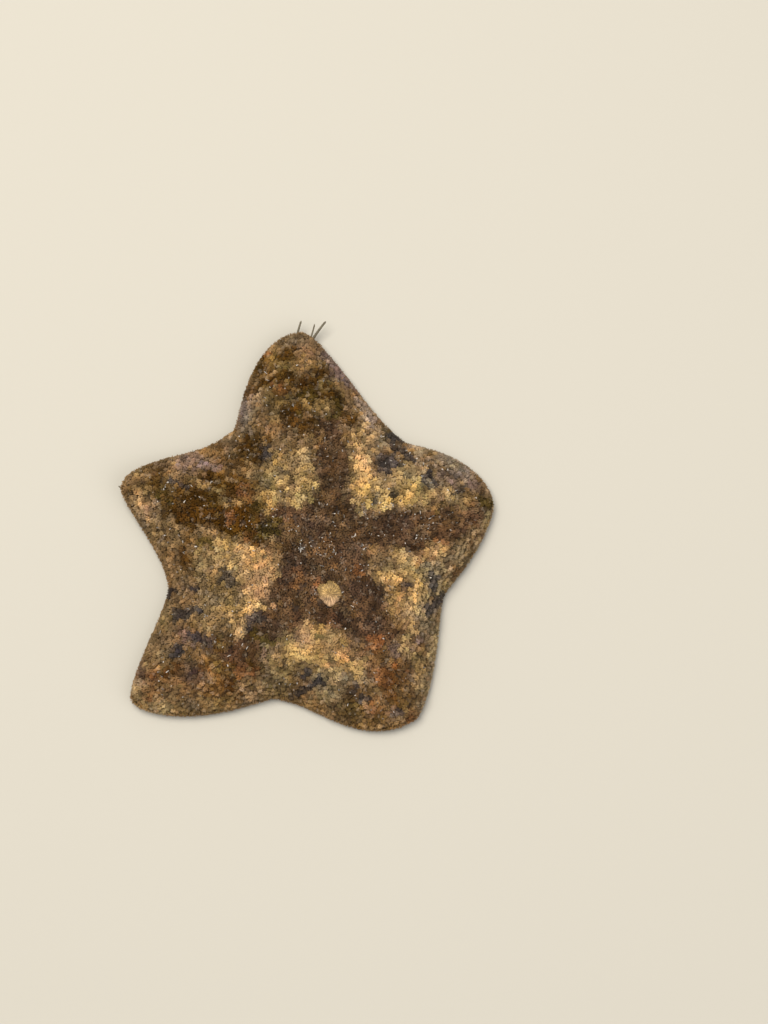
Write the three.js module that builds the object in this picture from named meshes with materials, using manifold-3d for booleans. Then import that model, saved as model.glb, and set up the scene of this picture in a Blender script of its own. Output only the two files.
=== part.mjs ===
// A cushion star, a small starfish with five short arms, at life size. Millimetres, +Z up.
// The star lies mouth down on the floor, z = 0. Its outer shape includes the fine spinelets of its coat.
// The body is worked out as one closed skin and then parted into the disc and the five arms by thin cuts.
// The origin is the middle of the bounding box, on the floor.
import * as THREE from "three";
import { ParametricGeometry } from "three/addons/geometries/ParametricGeometry.js";
import { mergeVertices } from "three/addons/utils/BufferGeometryUtils.js";
import Module from "manifold-3d";

const wasm = await Module();
wasm.setup();

// ---------------------------------------------------------------- driving dimensions

// The middle of the mouth and of the disc, which stands a little off the origin.
const DISC_CENTRE = { x: 1.03, y: -3.45 };

// Arms in order anticlockwise, each with the bearing of its tip and its length from the disc centre.
// before and after are the two flanks that run down to the web on each side: sharp is low on a
// pointed arm and high on a broad one, and hollow is high where the web cuts in deeply.
// fullness is high where the back stays level for long and then drops steeply, and curl is how
// far the tip lifts off the floor.
const ARMS = [
  {
    name: "right", bearing: 15.5, length: 25.4, fullness: 2.3, curl: 0.5,
    before: { sharp: 1.1, hollow: 1.4 }, after: { sharp: 1.6, hollow: 1.4 },
  },
  {
    name: "top", bearing: 94, length: 30.2, fullness: 2.0, curl: 0.9,
    before: { sharp: 1.0, hollow: 2.3 }, after: { sharp: 1.7, hollow: 1.6 },
  },
  {
    name: "left", bearing: 162, length: 28.0, fullness: 2.0, curl: 1.9,
    before: { sharp: 1.4, hollow: 2.9 }, after: { sharp: 1.0, hollow: 2.1 },
  },
  {
    name: "lower_left", bearing: 220, length: 32.5, fullness: 2.0, curl: 0.4,
    before: { sharp: 1.0, hollow: 1.8 }, after: { sharp: 1.2, hollow: 1.4 },
  },
  {
    name: "lower_right", bearing: 300, length: 27.1, fullness: 2.6, curl: 0.3,
    before: { sharp: 1.9, hollow: 2.8 }, after: { sharp: 1.0, hollow: 1.7 },
  },
];

// The web that follows each arm anticlockwise: its bearing and its reach from the disc centre.
const WEBS = [
  { bearing: 50.5, reach: 19.4, fullness: 2.0 },
  { bearing: 125, reach: 20.1, fullness: 1.9 },
  { bearing: 193, reach: 20.8, fullness: 2.0 },
  { bearing: 255.5, reach: 21.2, fullness: 2.3 },
  { bearing: 340.5, reach: 18.9, fullness: 3.0 },
];

const TIP_ROUNDING = 0.06; // share of a flank's sweep that rounds off the arm's tip
const CROWN_HEIGHT = 8.8; // the highest point of the back
const RIM_HEIGHT = 0.9; // the acute edge where back and underside meet
const RIM_FALL = 0.75; // how roundly the back falls to the rim
const UNDERCUT_START = 0.88; // share of the way out where the underside starts to rise to the rim
const PALM_HOLLOW = 0.35; // the shallow hollow between two grooves on the underside
const LEVEL_SHARE = 0.3; // share of a flank beside the groove that lies level on the floor
const CURL_START = 0.72; // share of an arm's length where its tip starts to lift

const FLANK_STEPS = 9; // facets along each flank
const CROWDING = 1.4; // how much closer together the facets are at a tip than at a web
const ORAL_RINGS = 6;
const DORSAL_RINGS = 9;

const SEAM = 0.3; // the gap that parts two nodes
const WEB_OVERSHOOT = 1.07; // a cut passes this far outside the web, so the disc keeps a bit of rim

const CUTTER = { depth: 30, height: 40 }; // the block that parts an arm from the disc
const GROOVE = { start: 2.0, end: 1.02, widthAtMouth: 2.5, widthAtTip: 1.2, arch: 1.3, sides: 10 };
const FOOT = {
  radius: 0.36, sole: 0.42, sides: 6,
  pitch: 3.0, aside: 0.56, first: 4.2, last: 0.9, slimming: 0.35,
};
const MOUTH = { radius: 2.75, depth: 1.9, sides: 24 };
const JAW = { inner: 1.1, outer: 2.2, innerWidth: 0.4, outerWidth: 1.5, low: 0.15, high: 1.6, bevel: 0.1 };
const MEMBRANE = { radius: 0.7, hole: 0.25, low: 1.0, high: 1.6, lip: 0.2, sides: 16 };
const MADREPORITE = {
  x: 2.2, y: -6.5, halfWidth: 1.5, halfLength: 1.65, thickness: 1.0, proud: 0.3, sides: 24,
  edgeDrop: 0.15, shoulderDrop: 0.05, // below its top
  shoulder: 0.85, level: 0.5, // shares of its half width
};
const EYESPOT = { radius: 0.38, fromTip: 0.95, height: 0.85, sides: 8 };

// The two foremost tube feet that reach out from under the top arm. back is how far behind the arm's
// tip a feeler leaves the groove, aside how far left of the arm's axis, and lean its turn to the left.
const FEELER = { radius: 0.28, height: 0.62, rise: 0.1, sides: 8 };
const FEELERS = [
  { back: 2.3, aside: 1.1, lean: -17, length: 3.95 },
  { back: 2.0, aside: -1.0, lean: -36, length: 4.05 },
];

const MERGE_DISTANCE = 1e-4; // corners closer than this are one corner

// ---------------------------------------------------------------- the shape of the body

const DEGREE = Math.PI / 180;
const mod = (value, turn) => ((value % turn) + turn) % turn;
const smooth = (t) => {
  const c = Math.min(1, Math.max(0, t));
  return c * c * (3 - 2 * c);
};

// The ten flanks in order anticlockwise. side is 1 where a flank follows its arm's tip, and -1 before it.
const FLANKS = ARMS.flatMap((arm, i) => [
  { arm, web: WEBS[mod(i - 1, ARMS.length)], form: arm.before, side: -1 },
  { arm, web: WEBS[i], form: arm.after, side: 1 },
]);

// The flank that a bearing in degrees lies on, and how far it is from the tip to the web.
function flankAt(bearing) {
  const sweepTo = (flank, to) => mod(flank.side * (to - flank.arm.bearing), 360);
  const flank = FLANKS.find((each) => sweepTo(each, bearing) <= sweepTo(each, each.web.bearing));
  return { ...flank, share: sweepTo(flank, bearing) / sweepTo(flank, flank.web.bearing) };
}

// The distance from the disc centre to the rim on a bearing.
function reachAt({ arm, web, form, share }) {
  const pastTip = (part) => Math.hypot(part, TIP_ROUNDING) - TIP_ROUNDING;
  const rounded = Math.min(1, pastTip(share) / pastTip(1));
  const fall = Math.pow(1 - Math.pow(rounded, form.sharp), form.hollow);
  return web.reach + (arm.length - web.reach) * fall;
}

// The height of the back at a share of the way out to the rim.
function backHeight(place, out) {
  const fullness = place.arm.fullness + (place.web.fullness - place.arm.fullness) * smooth(place.share);
  return RIM_HEIGHT + (CROWN_HEIGHT - RIM_HEIGHT) * Math.pow(1 - Math.pow(out, fullness), RIM_FALL);
}

// The height of the underside: level beside the grooves, a little hollow in the webs, rising to the rim.
function soleHeight(place, out) {
  const towardsWeb = smooth((place.share - LEVEL_SHARE) / (1 - LEVEL_SHARE));
  const hollow = PALM_HOLLOW * towardsWeb * Math.sin(Math.PI * Math.min(1, out / UNDERCUT_START));
  const edge = smooth((out - UNDERCUT_START) / (1 - UNDERCUT_START));
  return hollow * (1 - edge) + RIM_HEIGHT * edge * edge;
}

// The bearing of a step round the ring. The steps crowd towards the tips, where the outline turns most.
function bearingOfStep(step) {
  const flankIndex = Math.floor(step / FLANK_STEPS);
  const along = (step - flankIndex * FLANK_STEPS) / FLANK_STEPS;
  const arm = ARMS[Math.floor(flankIndex / 2) % ARMS.length];
  const nextArm = ARMS[(Math.floor(flankIndex / 2) + 1) % ARMS.length];
  const web = WEBS[Math.floor(flankIndex / 2) % WEBS.length];
  const outbound = flankIndex % 2 === 0;
  const sweep = outbound ? mod(web.bearing - arm.bearing, 360) : mod(nextArm.bearing - web.bearing, 360);
  const crowd = outbound ? Math.pow(along, CROWDING) : 1 - Math.pow(1 - along, CROWDING);
  return (outbound ? arm.bearing : web.bearing) + sweep * crowd;
}

const RING_STEPS = 2 * ARMS.length * FLANK_STEPS;
const RINGS = ORAL_RINGS + DORSAL_RINGS;

// The closed skin as one surface: u goes round the star, and v from the mouth out to the rim and up
// to the crown.
function skinPoint(u, v, target) {
  const bearing = bearingOfStep(Math.round(u * RING_STEPS));
  const place = flankAt(mod(bearing, 360));
  const ring = v * RINGS;
  const onBack = ring > ORAL_RINGS;
  const climbed = (ring - ORAL_RINGS) / DORSAL_RINGS;
  const out = onBack ? Math.cos(climbed * (Math.PI / 2)) : ring / ORAL_RINGS;
  const share = ring >= RINGS ? 0 : Math.max(0, out);
  const reach = reachAt(place) * share;
  const height = onBack ? backHeight(place, share) : soleHeight(place, share);
  target.set(reach * Math.cos(bearing * DEGREE), reach * Math.sin(bearing * DEGREE), height);
}

// ---------------------------------------------------------------- solids

// A closed geometry as a solid: shared corners are merged and collapsed triangles are dropped.
function solidOf(geometry) {
  const bare = geometry.clone();
  bare.deleteAttribute("normal");
  bare.deleteAttribute("uv");
  const merged = mergeVertices(bare, MERGE_DISTANCE);
  const kept = [];
  const corners = merged.index.array;
  for (let i = 0; i < corners.length; i += 3) {
    const [a, b, c] = [corners[i], corners[i + 1], corners[i + 2]];
    if (a !== b && b !== c && c !== a) kept.push(a, b, c);
  }
  const mesh = new wasm.Mesh({
    numProp: 3,
    vertProperties: new Float32Array(merged.attributes.position.array),
    triVerts: new Uint32Array(kept),
  });
  return new wasm.Manifold(mesh);
}

// A solid's surface as a geometry.
function geometryOf(solid) {
  const mesh = solid.getMesh();
  const places = new Float32Array(mesh.numVert * 3);
  for (let i = 0; i < mesh.numVert; i++) {
    places.set(mesh.vertProperties.subarray(i * mesh.numProp, i * mesh.numProp + 3), i * 3);
  }
  return new THREE.BufferGeometry()
    .setAttribute("position", new THREE.BufferAttribute(places, 3))
    .setIndex(new THREE.BufferAttribute(new Uint32Array(mesh.triVerts), 1));
}

// Turns a geometry made along +X to an arm's bearing.
const onBearing = (geometry, bearing) => geometry.rotateZ(bearing * DEGREE);

// The tapered furrow that runs under an arm from the mouth to the tip.
function grooveTool(arm) {
  const length = arm.length * GROOVE.end - GROOVE.start;
  const { widthAtTip, widthAtMouth, sides } = GROOVE;
  const tool = new THREE.CylinderGeometry(widthAtTip / 2, widthAtMouth / 2, length, sides);
  tool.rotateZ(-90 * DEGREE);
  tool.scale(1, 1, GROOVE.arch);
  tool.translate(GROOVE.start + length / 2, 0, 0);
  return onBearing(tool, arm.bearing);
}

// How far the groove's roof is above the floor at a distance along the arm.
function grooveRoof(arm, along) {
  const taper = (along - GROOVE.start) / (arm.length * GROOVE.end - GROOVE.start);
  const width = GROOVE.widthAtMouth + (GROOVE.widthAtTip - GROOVE.widthAtMouth) * taper;
  return (width / 2) * GROOVE.arch;
}

// One tube foot that hangs from the groove's roof and ends in a flat sucker on the floor.
function tubeFoot(arm, along, side) {
  const slim = 1 - FOOT.slimming * (along / arm.length);
  const height = grooveRoof(arm, along) + SEAM;
  const foot = new THREE.CylinderGeometry(FOOT.radius * slim, FOOT.sole * slim, height, FOOT.sides);
  foot.rotateX(90 * DEGREE);
  foot.translate(along, side * FOOT.aside * slim, height / 2);
  return onBearing(foot, arm.bearing);
}

// Two staggered rows of tube feet in an arm's groove, with none where the arm is parted from the disc.
function tubeFeet(arm, base) {
  const feet = [];
  for (const side of [-1, 1]) {
    const first = FOOT.first + (side > 0 ? FOOT.pitch / 2 : 0);
    for (let along = first; along < arm.length * FOOT.last; along += FOOT.pitch) {
      const clear = Math.abs(along - base) > 2 * FOOT.sole;
      if (clear) feet.push(solidOf(tubeFoot(arm, along, side)));
    }
  }
  return feet;
}

// A place on the plan, a share of the way out to a web.
function besideWeb(web, share) {
  const reach = web.reach * share;
  return new THREE.Vector2(reach * Math.cos(web.bearing * DEGREE), reach * Math.sin(web.bearing * DEGREE));
}

// An arm's base line, which joins the webs on its two sides.
function baseLine(index) {
  const from = besideWeb(WEBS[mod(index - 1, WEBS.length)], WEB_OVERSHOOT);
  const to = besideWeb(WEBS[index], WEB_OVERSHOOT);
  const line = to.clone().sub(from);
  const outward = new THREE.Vector2(line.y, -line.x).normalize();
  const middle = from.add(to).multiplyScalar(0.5);
  return { middle, outward, width: line.length() };
}

// The block outside an arm's base line, moved out by a gap.
function outsideOf(index, gap) {
  const { middle, outward, width } = baseLine(index);
  const box = new THREE.BoxGeometry(CUTTER.depth, width, CUTTER.height);
  box.translate(CUTTER.depth / 2 + gap, 0, 0);
  box.rotateZ(Math.atan2(outward.y, outward.x));
  box.translate(middle.x, middle.y, 0);
  return solidOf(box);
}

// How far along an arm's axis its base line is.
function baseAlong(index) {
  const { middle, outward } = baseLine(index);
  const heading = ARMS[index].bearing * DEGREE;
  const axis = new THREE.Vector2(Math.cos(heading), Math.sin(heading));
  return middle.dot(outward) / axis.dot(outward);
}

// A wedge between two grooves at the mouth, one of the five jaws.
function jaw(bearing) {
  const outline = new THREE.Shape();
  outline.moveTo(JAW.inner, -JAW.innerWidth / 2);
  outline.lineTo(JAW.outer, -JAW.outerWidth / 2);
  outline.lineTo(JAW.outer, JAW.outerWidth / 2);
  outline.lineTo(JAW.inner, JAW.innerWidth / 2);
  outline.closePath();
  const wedge = new THREE.ExtrudeGeometry(outline, {
    depth: JAW.high - JAW.low - 2 * JAW.bevel,
    bevelThickness: JAW.bevel,
    bevelSize: JAW.bevel,
    bevelSegments: 1,
  });
  wedge.translate(0, 0, JAW.low + JAW.bevel);
  return onBearing(wedge, bearing);
}

// The soft ring of membrane round the mouth opening.
function mouthMembrane() {
  const profile = [
    new THREE.Vector2(MEMBRANE.hole, MEMBRANE.low + MEMBRANE.lip),
    new THREE.Vector2((MEMBRANE.hole + MEMBRANE.radius) / 2, MEMBRANE.low),
    new THREE.Vector2(MEMBRANE.radius, MEMBRANE.low + MEMBRANE.lip),
    new THREE.Vector2(MEMBRANE.radius, MEMBRANE.high),
    new THREE.Vector2(MEMBRANE.hole, MEMBRANE.high),
    new THREE.Vector2(MEMBRANE.hole, MEMBRANE.low + MEMBRANE.lip),
  ];
  return new THREE.LatheGeometry(profile, MEMBRANE.sides).rotateX(90 * DEGREE);
}

// The slope and height of the back under the madreporite.
function madreporiteSeat() {
  const distance = Math.hypot(MADREPORITE.x, MADREPORITE.y);
  const bearing = Math.atan2(MADREPORITE.y, MADREPORITE.x) / DEGREE;
  const place = flankAt(mod(bearing, 360));
  const reach = reachAt(place);
  const edge = MADREPORITE.halfLength;
  const inner = backHeight(place, (distance - edge) / reach);
  const outer = backHeight(place, (distance + edge) / reach);
  return { height: (inner + outer) / 2, tilt: Math.atan2(inner - outer, 2 * edge), bearing };
}

// The madreporite, a low button on the back that is domed a little on top.
// Grown by a margin on every side it is the tool that cuts its own pocket.
function madreporite(margin) {
  const { height, tilt, bearing } = madreporiteSeat();
  const bottom = -MADREPORITE.thickness - margin;
  const top = MADREPORITE.proud + margin;
  const profile = [
    new THREE.Vector2(0, bottom),
    new THREE.Vector2(1, bottom),
    new THREE.Vector2(1, top - MADREPORITE.edgeDrop),
    new THREE.Vector2(MADREPORITE.shoulder, top - MADREPORITE.shoulderDrop),
    new THREE.Vector2(MADREPORITE.level, top),
    new THREE.Vector2(0, top),
  ];
  const button = new THREE.LatheGeometry(profile, MADREPORITE.sides).rotateX(90 * DEGREE);
  button.scale(MADREPORITE.halfLength + margin, MADREPORITE.halfWidth + margin, 1);
  button.rotateY(tilt);
  onBearing(button, bearing);
  return button.translate(MADREPORITE.x, MADREPORITE.y, height);
}

// The small round eyespot under an arm's tip, grown by a margin when it cuts its pocket.
function eyespot(arm, margin) {
  const ball = new THREE.SphereGeometry(EYESPOT.radius + margin, EYESPOT.sides, EYESPOT.sides - 2);
  ball.translate(arm.length - EYESPOT.fromTip, 0, EYESPOT.height);
  return onBearing(ball, arm.bearing);
}

// A slender feeler that lies near the floor and rises a little towards its tip.
function feeler(arm, { back, aside, lean, length }) {
  const stalk = new THREE.CylinderGeometry(FEELER.radius, FEELER.radius, length, FEELER.sides);
  stalk.rotateZ(-90 * DEGREE);
  stalk.translate(length / 2, 0, 0);
  stalk.rotateY(-Math.atan(FEELER.rise));
  stalk.rotateZ(lean * DEGREE);
  stalk.translate(arm.length - back, aside, FEELER.height);
  return onBearing(stalk, arm.bearing);
}

// ---------------------------------------------------------------- the pose

// How far a point of the star lifts off the floor because the arm it lies on curls up at the tip.
function lift(x, y) {
  const bearing = mod(Math.atan2(y, x) / DEGREE, 360);
  const { arm } = flankAt(bearing);
  const along = x * Math.cos(arm.bearing * DEGREE) + y * Math.sin(arm.bearing * DEGREE);
  const share = Math.max(0, (along / arm.length - CURL_START) / (1 - CURL_START));
  return arm.curl * share * share;
}

function posed(geometry) {
  const places = geometry.getAttribute("position");
  for (let i = 0; i < places.count; i++) {
    places.setZ(i, places.getZ(i) + lift(places.getX(i), places.getY(i)));
  }
  geometry.computeVertexNormals();
  return geometry;
}

// ---------------------------------------------------------------- the pieces

// The whole body in one piece, with its grooves, its mouth, its tube feet and its pockets.
function wholeBody() {
  let body = solidOf(new ParametricGeometry(skinPoint, RING_STEPS, RINGS));
  for (const arm of ARMS) body = body.subtract(solidOf(grooveTool(arm)));
  const mouth = new THREE.CylinderGeometry(MOUTH.radius, MOUTH.radius, 2 * MOUTH.depth, MOUTH.sides);
  body = body.subtract(solidOf(mouth.rotateX(90 * DEGREE)));
  body = body.subtract(solidOf(madreporite(SEAM)));
  ARMS.forEach((arm, index) => {
    for (const foot of tubeFeet(arm, baseAlong(index))) body = body.add(foot);
  });
  const top = ARMS.find((arm) => arm.name === "top");
  for (const settings of FEELERS) body = body.add(solidOf(feeler(top, settings)));
  for (const arm of ARMS) body = body.subtract(solidOf(eyespot(arm, SEAM)));
  return body;
}

const OLIVE_BROWN = { color: "#6b5230", roughness: 0.55 };
const DARK_BROWN = { color: "#43342a", roughness: 0.55 };
const OCHRE = { color: "#c39a5c", roughness: 0.6 };
const CREAM = { color: "#cdb794", roughness: 0.6 };
const BRICK = { color: "#a5502b", roughness: 0.35 };

const star = new THREE.Group();

// Hangs a posed piece in the star under its own name.
function addPiece(name, geometry, finish) {
  const mesh = new THREE.Mesh(posed(geometry), new THREE.MeshStandardMaterial({ ...finish, metalness: 0 }));
  mesh.name = name;
  star.add(mesh);
}

const body = wholeBody();
let disc = body;
ARMS.forEach((arm, index) => {
  addPiece("arm_" + arm.name, geometryOf(body.intersect(outsideOf(index, SEAM / 2))), OLIVE_BROWN);
  disc = disc.subtract(outsideOf(index, -SEAM / 2));
});
addPiece("disc", geometryOf(disc), DARK_BROWN);
addPiece("madreporite", geometryOf(solidOf(madreporite(0))), OCHRE);
addPiece("mouth_membrane", geometryOf(solidOf(mouthMembrane())), CREAM);
ARMS.forEach((arm, index) => {
  const next = ARMS[(index + 1) % ARMS.length];
  const between = arm.bearing + mod(next.bearing - arm.bearing, 360) / 2;
  addPiece("jaw_" + (index + 1), geometryOf(solidOf(jaw(between))), CREAM);
});
for (const arm of ARMS) addPiece("eyespot_" + arm.name, geometryOf(solidOf(eyespot(arm, 0))), BRICK);

star.position.set(DISC_CENTRE.x, DISC_CENTRE.y, 0);

export default star;
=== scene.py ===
# %% [markdown]
# # A cushion star, made from its skeleton outwards
# A cushion star is a small starfish with five short arms. Its back looks like wet suede from a
# distance. Close up it is a pavement of lime plates, and every plate carries a tuft of blunt
# spinelets a few tenths of a millimetre long. We build it in that order: one smooth skin, the
# plates on it, and then the spinelets. All of them take their colours from the same markings.
# Everything small is made by numpy, as whole arrays, because a loop over tens of thousands of
# spinelets would take minutes in Python and takes a moment in numpy.

# %% The frame that the solids come in
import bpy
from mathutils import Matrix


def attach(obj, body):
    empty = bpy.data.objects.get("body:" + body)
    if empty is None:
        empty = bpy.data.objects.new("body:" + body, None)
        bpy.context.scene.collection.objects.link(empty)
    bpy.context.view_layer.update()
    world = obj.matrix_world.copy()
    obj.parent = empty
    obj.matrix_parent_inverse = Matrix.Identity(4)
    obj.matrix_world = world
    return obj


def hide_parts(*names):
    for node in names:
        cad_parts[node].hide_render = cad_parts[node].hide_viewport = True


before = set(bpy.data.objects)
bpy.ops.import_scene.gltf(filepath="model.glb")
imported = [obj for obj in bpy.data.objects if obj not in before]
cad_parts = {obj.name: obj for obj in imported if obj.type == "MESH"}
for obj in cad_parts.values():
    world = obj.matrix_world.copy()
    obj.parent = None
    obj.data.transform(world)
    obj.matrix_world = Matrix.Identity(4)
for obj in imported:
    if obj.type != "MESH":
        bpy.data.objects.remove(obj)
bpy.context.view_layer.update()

import bpy
import numpy as np
from mathutils import Vector

MM = 0.001  # Blender works in metres here, and this file's own sizes are in millimetres
TINY = 1e-9

# %% [markdown]
# ## The body's dimensions
# Seen from above the star is a curve in polar form: for each bearing from the middle of the mouth,
# a reach to the rim. Each arm has two flanks that run down from its tip to the webs beside it, and
# each flank is a power curve. A power curve has just two numbers to tune, how pointed the tip is
# and how deeply the web is cut, so five arms of different length and bend stay easy to set.
# Lengths are in millimetres, bearings in degrees, and shares and powers are plain numbers.

# %% Arms and webs
DISC_CENTRE = np.array([1.03, -3.45])  # the middle of the mouth, from which all places are counted
ARM = {
    "name": ["right", "top", "left", "lower_left", "lower_right"],
    "bearing": np.array([15.5, 94.0, 162.0, 220.0, 300.0]),
    "length": np.array([25.4, 30.2, 28.0, 32.5, 27.1]),
    "fullness": np.array([2.3, 2.0, 2.0, 2.0, 2.6]),
    "curl": np.array([0.5, 0.9, 1.9, 0.4, 0.3]),
    "sharp_before": np.array([1.1, 1.0, 1.4, 1.0, 1.9]),
    "hollow_before": np.array([1.4, 2.3, 2.9, 1.8, 2.8]),
    "sharp_after": np.array([1.6, 1.7, 1.0, 1.2, 1.0]),
    "hollow_after": np.array([1.4, 1.6, 2.1, 1.4, 1.7]),
}
WEB = {  # each web comes after the arm of the same number, anticlockwise
    "bearing": np.array([50.5, 125.0, 193.0, 255.5, 340.5]),
    "reach": np.array([19.4, 20.1, 20.8, 21.2, 18.9]),
    "fullness": np.array([2.0, 1.9, 2.0, 2.3, 3.0]),
}
ARMS = len(ARM["name"])
TIP_ROUNDING = 0.06  # share of a flank over which the tip is rounded off
print("arms, mm:", dict(zip(ARM["name"], ARM["length"].tolist())))

# %% Heights, groove and mouth
CROWN_HEIGHT = 8.8
RIM_HEIGHT = 0.9
RIM_FALL = 0.75  # power of the fall from the crown to the rim
UNDERCUT_START = 0.88  # share of the way out where the underside begins to rise to the rim
PALM_HOLLOW = 0.35  # how far the underside stands off the floor between two arms
LEVEL_SHARE = 0.3  # share of the way from an arm's axis to the web that stays level
CURL_START = 0.72  # share of an arm's length where the tip begins to curl up
COAT = 0.5  # how far the skin lies inside the tips of the coat, on the back and at the rim
UNDER_COAT = 0.3  # and on the underside
GROOVE = {"start": 2.0, "end": 1.02, "width_at_mouth": 2.5, "width_at_tip": 1.2, "arch": 1.3}
GROOVE_RIB = 0.07  # height of the ribs between the roots of the tube feet
GROOVE_FADE = 0.04  # share of the way out over which a groove closes at the rim
MOUTH = {"radius": 2.75, "depth": 1.9, "lip": 0.5}
FOOT_PITCH = 0.78  # from one tube foot to the next along a row
SLOPE_STEP = 0.05  # the short way over which a slope is measured
print("crown and rim, mm:", CROWN_HEIGHT, RIM_HEIGHT)

# %% [markdown]
# ## The outline
# A bearing is looked up first: which arm it belongs to, which web is on its side of that arm, and
# how far it has come from the one to the other. Everything else about the body's shape, seen from
# above or from the side, follows from these few values.

# %% The rim


def smooth(t):
    """A soft step: 0 below 0, 1 above 1, and 3t^2 - 2t^3 between."""
    t = np.clip(t, 0.0, 1.0)
    return t * t * (3.0 - 2.0 * t)


def turn(degrees):
    """An angle in degrees brought between -180 and 180."""
    return (degrees + 180.0) % 360.0 - 180.0


def flank_at(bearing):
    """The arm and the web that a bearing lies between, the side of the arm, and the share of the way."""
    arm = np.searchsorted(WEB["bearing"], np.mod(bearing, 360.0)) % ARMS
    offset = turn(bearing - ARM["bearing"][arm])
    after = offset >= 0.0
    web = np.where(after, arm, (arm - 1) % ARMS)
    sweep = np.abs(turn(WEB["bearing"][web] - ARM["bearing"][arm]))
    return arm, web, after, np.abs(offset) / sweep


def flank_of(x, y):
    """The same for a place instead of a bearing."""
    return flank_at(np.degrees(np.arctan2(y, x)))


def reach_at(bearing):
    """Reach of the rim: the web's reach, and above it the arm's length times (1 - share^sharp)^hollow."""
    arm, web, after, share = flank_at(bearing)
    whole = np.hypot(1.0, TIP_ROUNDING) - TIP_ROUNDING
    rounded = (np.hypot(share, TIP_ROUNDING) - TIP_ROUNDING) / whole
    sharp = np.where(after, ARM["sharp_after"][arm], ARM["sharp_before"][arm])
    hollow = np.where(after, ARM["hollow_after"][arm], ARM["hollow_before"][arm])
    fall = (1.0 - np.minimum(rounded, 1.0) ** sharp) ** hollow
    return WEB["reach"][web] + (ARM["length"][arm] - WEB["reach"][web]) * fall


def along_and_aside(x, y, arm):
    """A place's distance along an arm's axis, and its distance to the left of it."""
    angle = np.radians(ARM["bearing"][arm])
    return x * np.cos(angle) + y * np.sin(angle), y * np.cos(angle) - x * np.sin(angle)


def off_axis(along, aside, arm):
    """The way back: the place at a distance along an arm's axis and a distance to the left of it."""
    angle = np.radians(ARM["bearing"][arm])
    return along * np.cos(angle) - aside * np.sin(angle), along * np.sin(angle) + aside * np.cos(angle)


def out_at(x, y, inset=COAT):
    """The share of the way out to the rim, with the rim drawn in by the coat's depth."""
    return np.hypot(x, y) / (reach_at(np.degrees(np.arctan2(y, x))) - inset)


rim = reach_at(np.arange(0.0, 360.0, 0.25))
print("reach of the rim, mm:", round(float(rim.min()), 1), "to", round(float(rim.max()), 1))

# %% [markdown]
# ## The back and the underside
# Two more formulas give the height of the back and of the underside at any place. The back is a
# dome, fuller over the webs than over the arms or the other way round, and the tips curl up a
# little. The underside is level where it rests, hollow between the arms, and has a ribbed groove
# under each arm and the mouth in the middle.

# %% Heights of the body


def lift_at(x, y):
    """How far the curl of the arm's tip raises a place: the curl times the square of the way into it."""
    arm = flank_of(x, y)[0]
    along = along_and_aside(x, y, arm)[0]
    share = np.maximum(0.0, (along / ARM["length"][arm] - CURL_START) / (1.0 - CURL_START))
    return ARM["curl"][arm] * share * share


def fullness_at(arm, web, share):
    """The power that makes the dome full or thin: the arm's own, going over softly to the web's."""
    return ARM["fullness"][arm] + (WEB["fullness"][web] - ARM["fullness"][arm]) * smooth(share)


def back_height(x, y, inset=COAT):
    """Height of the back: the rim's plus the crown's times (1 - out^fullness)^fall, and the curl."""
    arm, web, _, share = flank_of(x, y)
    out = np.clip(out_at(x, y, inset), 0.0, 1.0)
    dome = (1.0 - out ** fullness_at(arm, web, share)) ** RIM_FALL
    return RIM_HEIGHT + (CROWN_HEIGHT - inset - RIM_HEIGHT) * dome + lift_at(x, y)


def groove_half_width(along, arm):
    """Half the width of the groove under an arm, which narrows evenly from the mouth to the tip."""
    way = (along - GROOVE["start"]) / (ARM["length"][arm] * GROOVE["end"] - GROOVE["start"])
    return (GROOVE["width_at_mouth"] + (GROOVE["width_at_tip"] - GROOVE["width_at_mouth"]) * way) / 2.0


def under_height(x, y):
    """Height of the underside: level, hollow in the webs, rising to the rim, with the grooves let in."""
    arm, _, _, share = flank_of(x, y)
    out = np.clip(out_at(x, y), 0.0, 1.0)
    hollow = PALM_HOLLOW * smooth((share - LEVEL_SHARE) / (1.0 - LEVEL_SHARE))
    hollow = hollow * np.sin(np.pi * np.minimum(1.0, out / UNDERCUT_START))
    edge = smooth((out - UNDERCUT_START) / (1.0 - UNDERCUT_START)) ** 2
    sole = (UNDER_COAT + hollow) * (1.0 - edge) + RIM_HEIGHT * edge
    along, aside = along_and_aside(x, y, arm)
    half = groove_half_width(along, arm)
    arch = np.sqrt(np.maximum(0.0, 1.0 - (aside / half) ** 2))
    ribs = GROOVE_RIB * np.cos(2.0 * np.pi * along / FOOT_PITCH)
    groove = (half * GROOVE["arch"] + ribs) * arch * smooth((1.0 - out) / GROOVE_FADE)
    mouth = MOUTH["depth"] * smooth((MOUTH["radius"] - np.hypot(x, y)) / MOUTH["lip"])
    return np.maximum(np.maximum(sole, groove), mouth) + lift_at(x, y)


def on_surface(height, x, y):
    """Points on the back or the underside, and the unit normals there, from the slope each way."""
    slope_x = (height(x + SLOPE_STEP, y) - height(x - SLOPE_STEP, y)) / (2.0 * SLOPE_STEP)
    slope_y = (height(x, y + SLOPE_STEP) - height(x, y - SLOPE_STEP)) / (2.0 * SLOPE_STEP)
    normal = np.stack([-slope_x, -slope_y, np.ones_like(x)], axis=-1)
    normal /= np.linalg.norm(normal, axis=-1, keepdims=True)
    return np.stack([x, y, height(x, y)], axis=-1), normal


print("skin at the crown, mm:", round(float(back_height(np.zeros(1), np.zeros(1))[0]), 2))

# %% [markdown]
# ## Putting arrays into Blender
# Blender stores a mesh as flat lists: corner places, and for each face the numbers of its corners.
# foreach_set copies a whole numpy array into such a list in one go, which is hundreds of times
# faster than adding vertices one at a time.

# %% Mesh helpers


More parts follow.
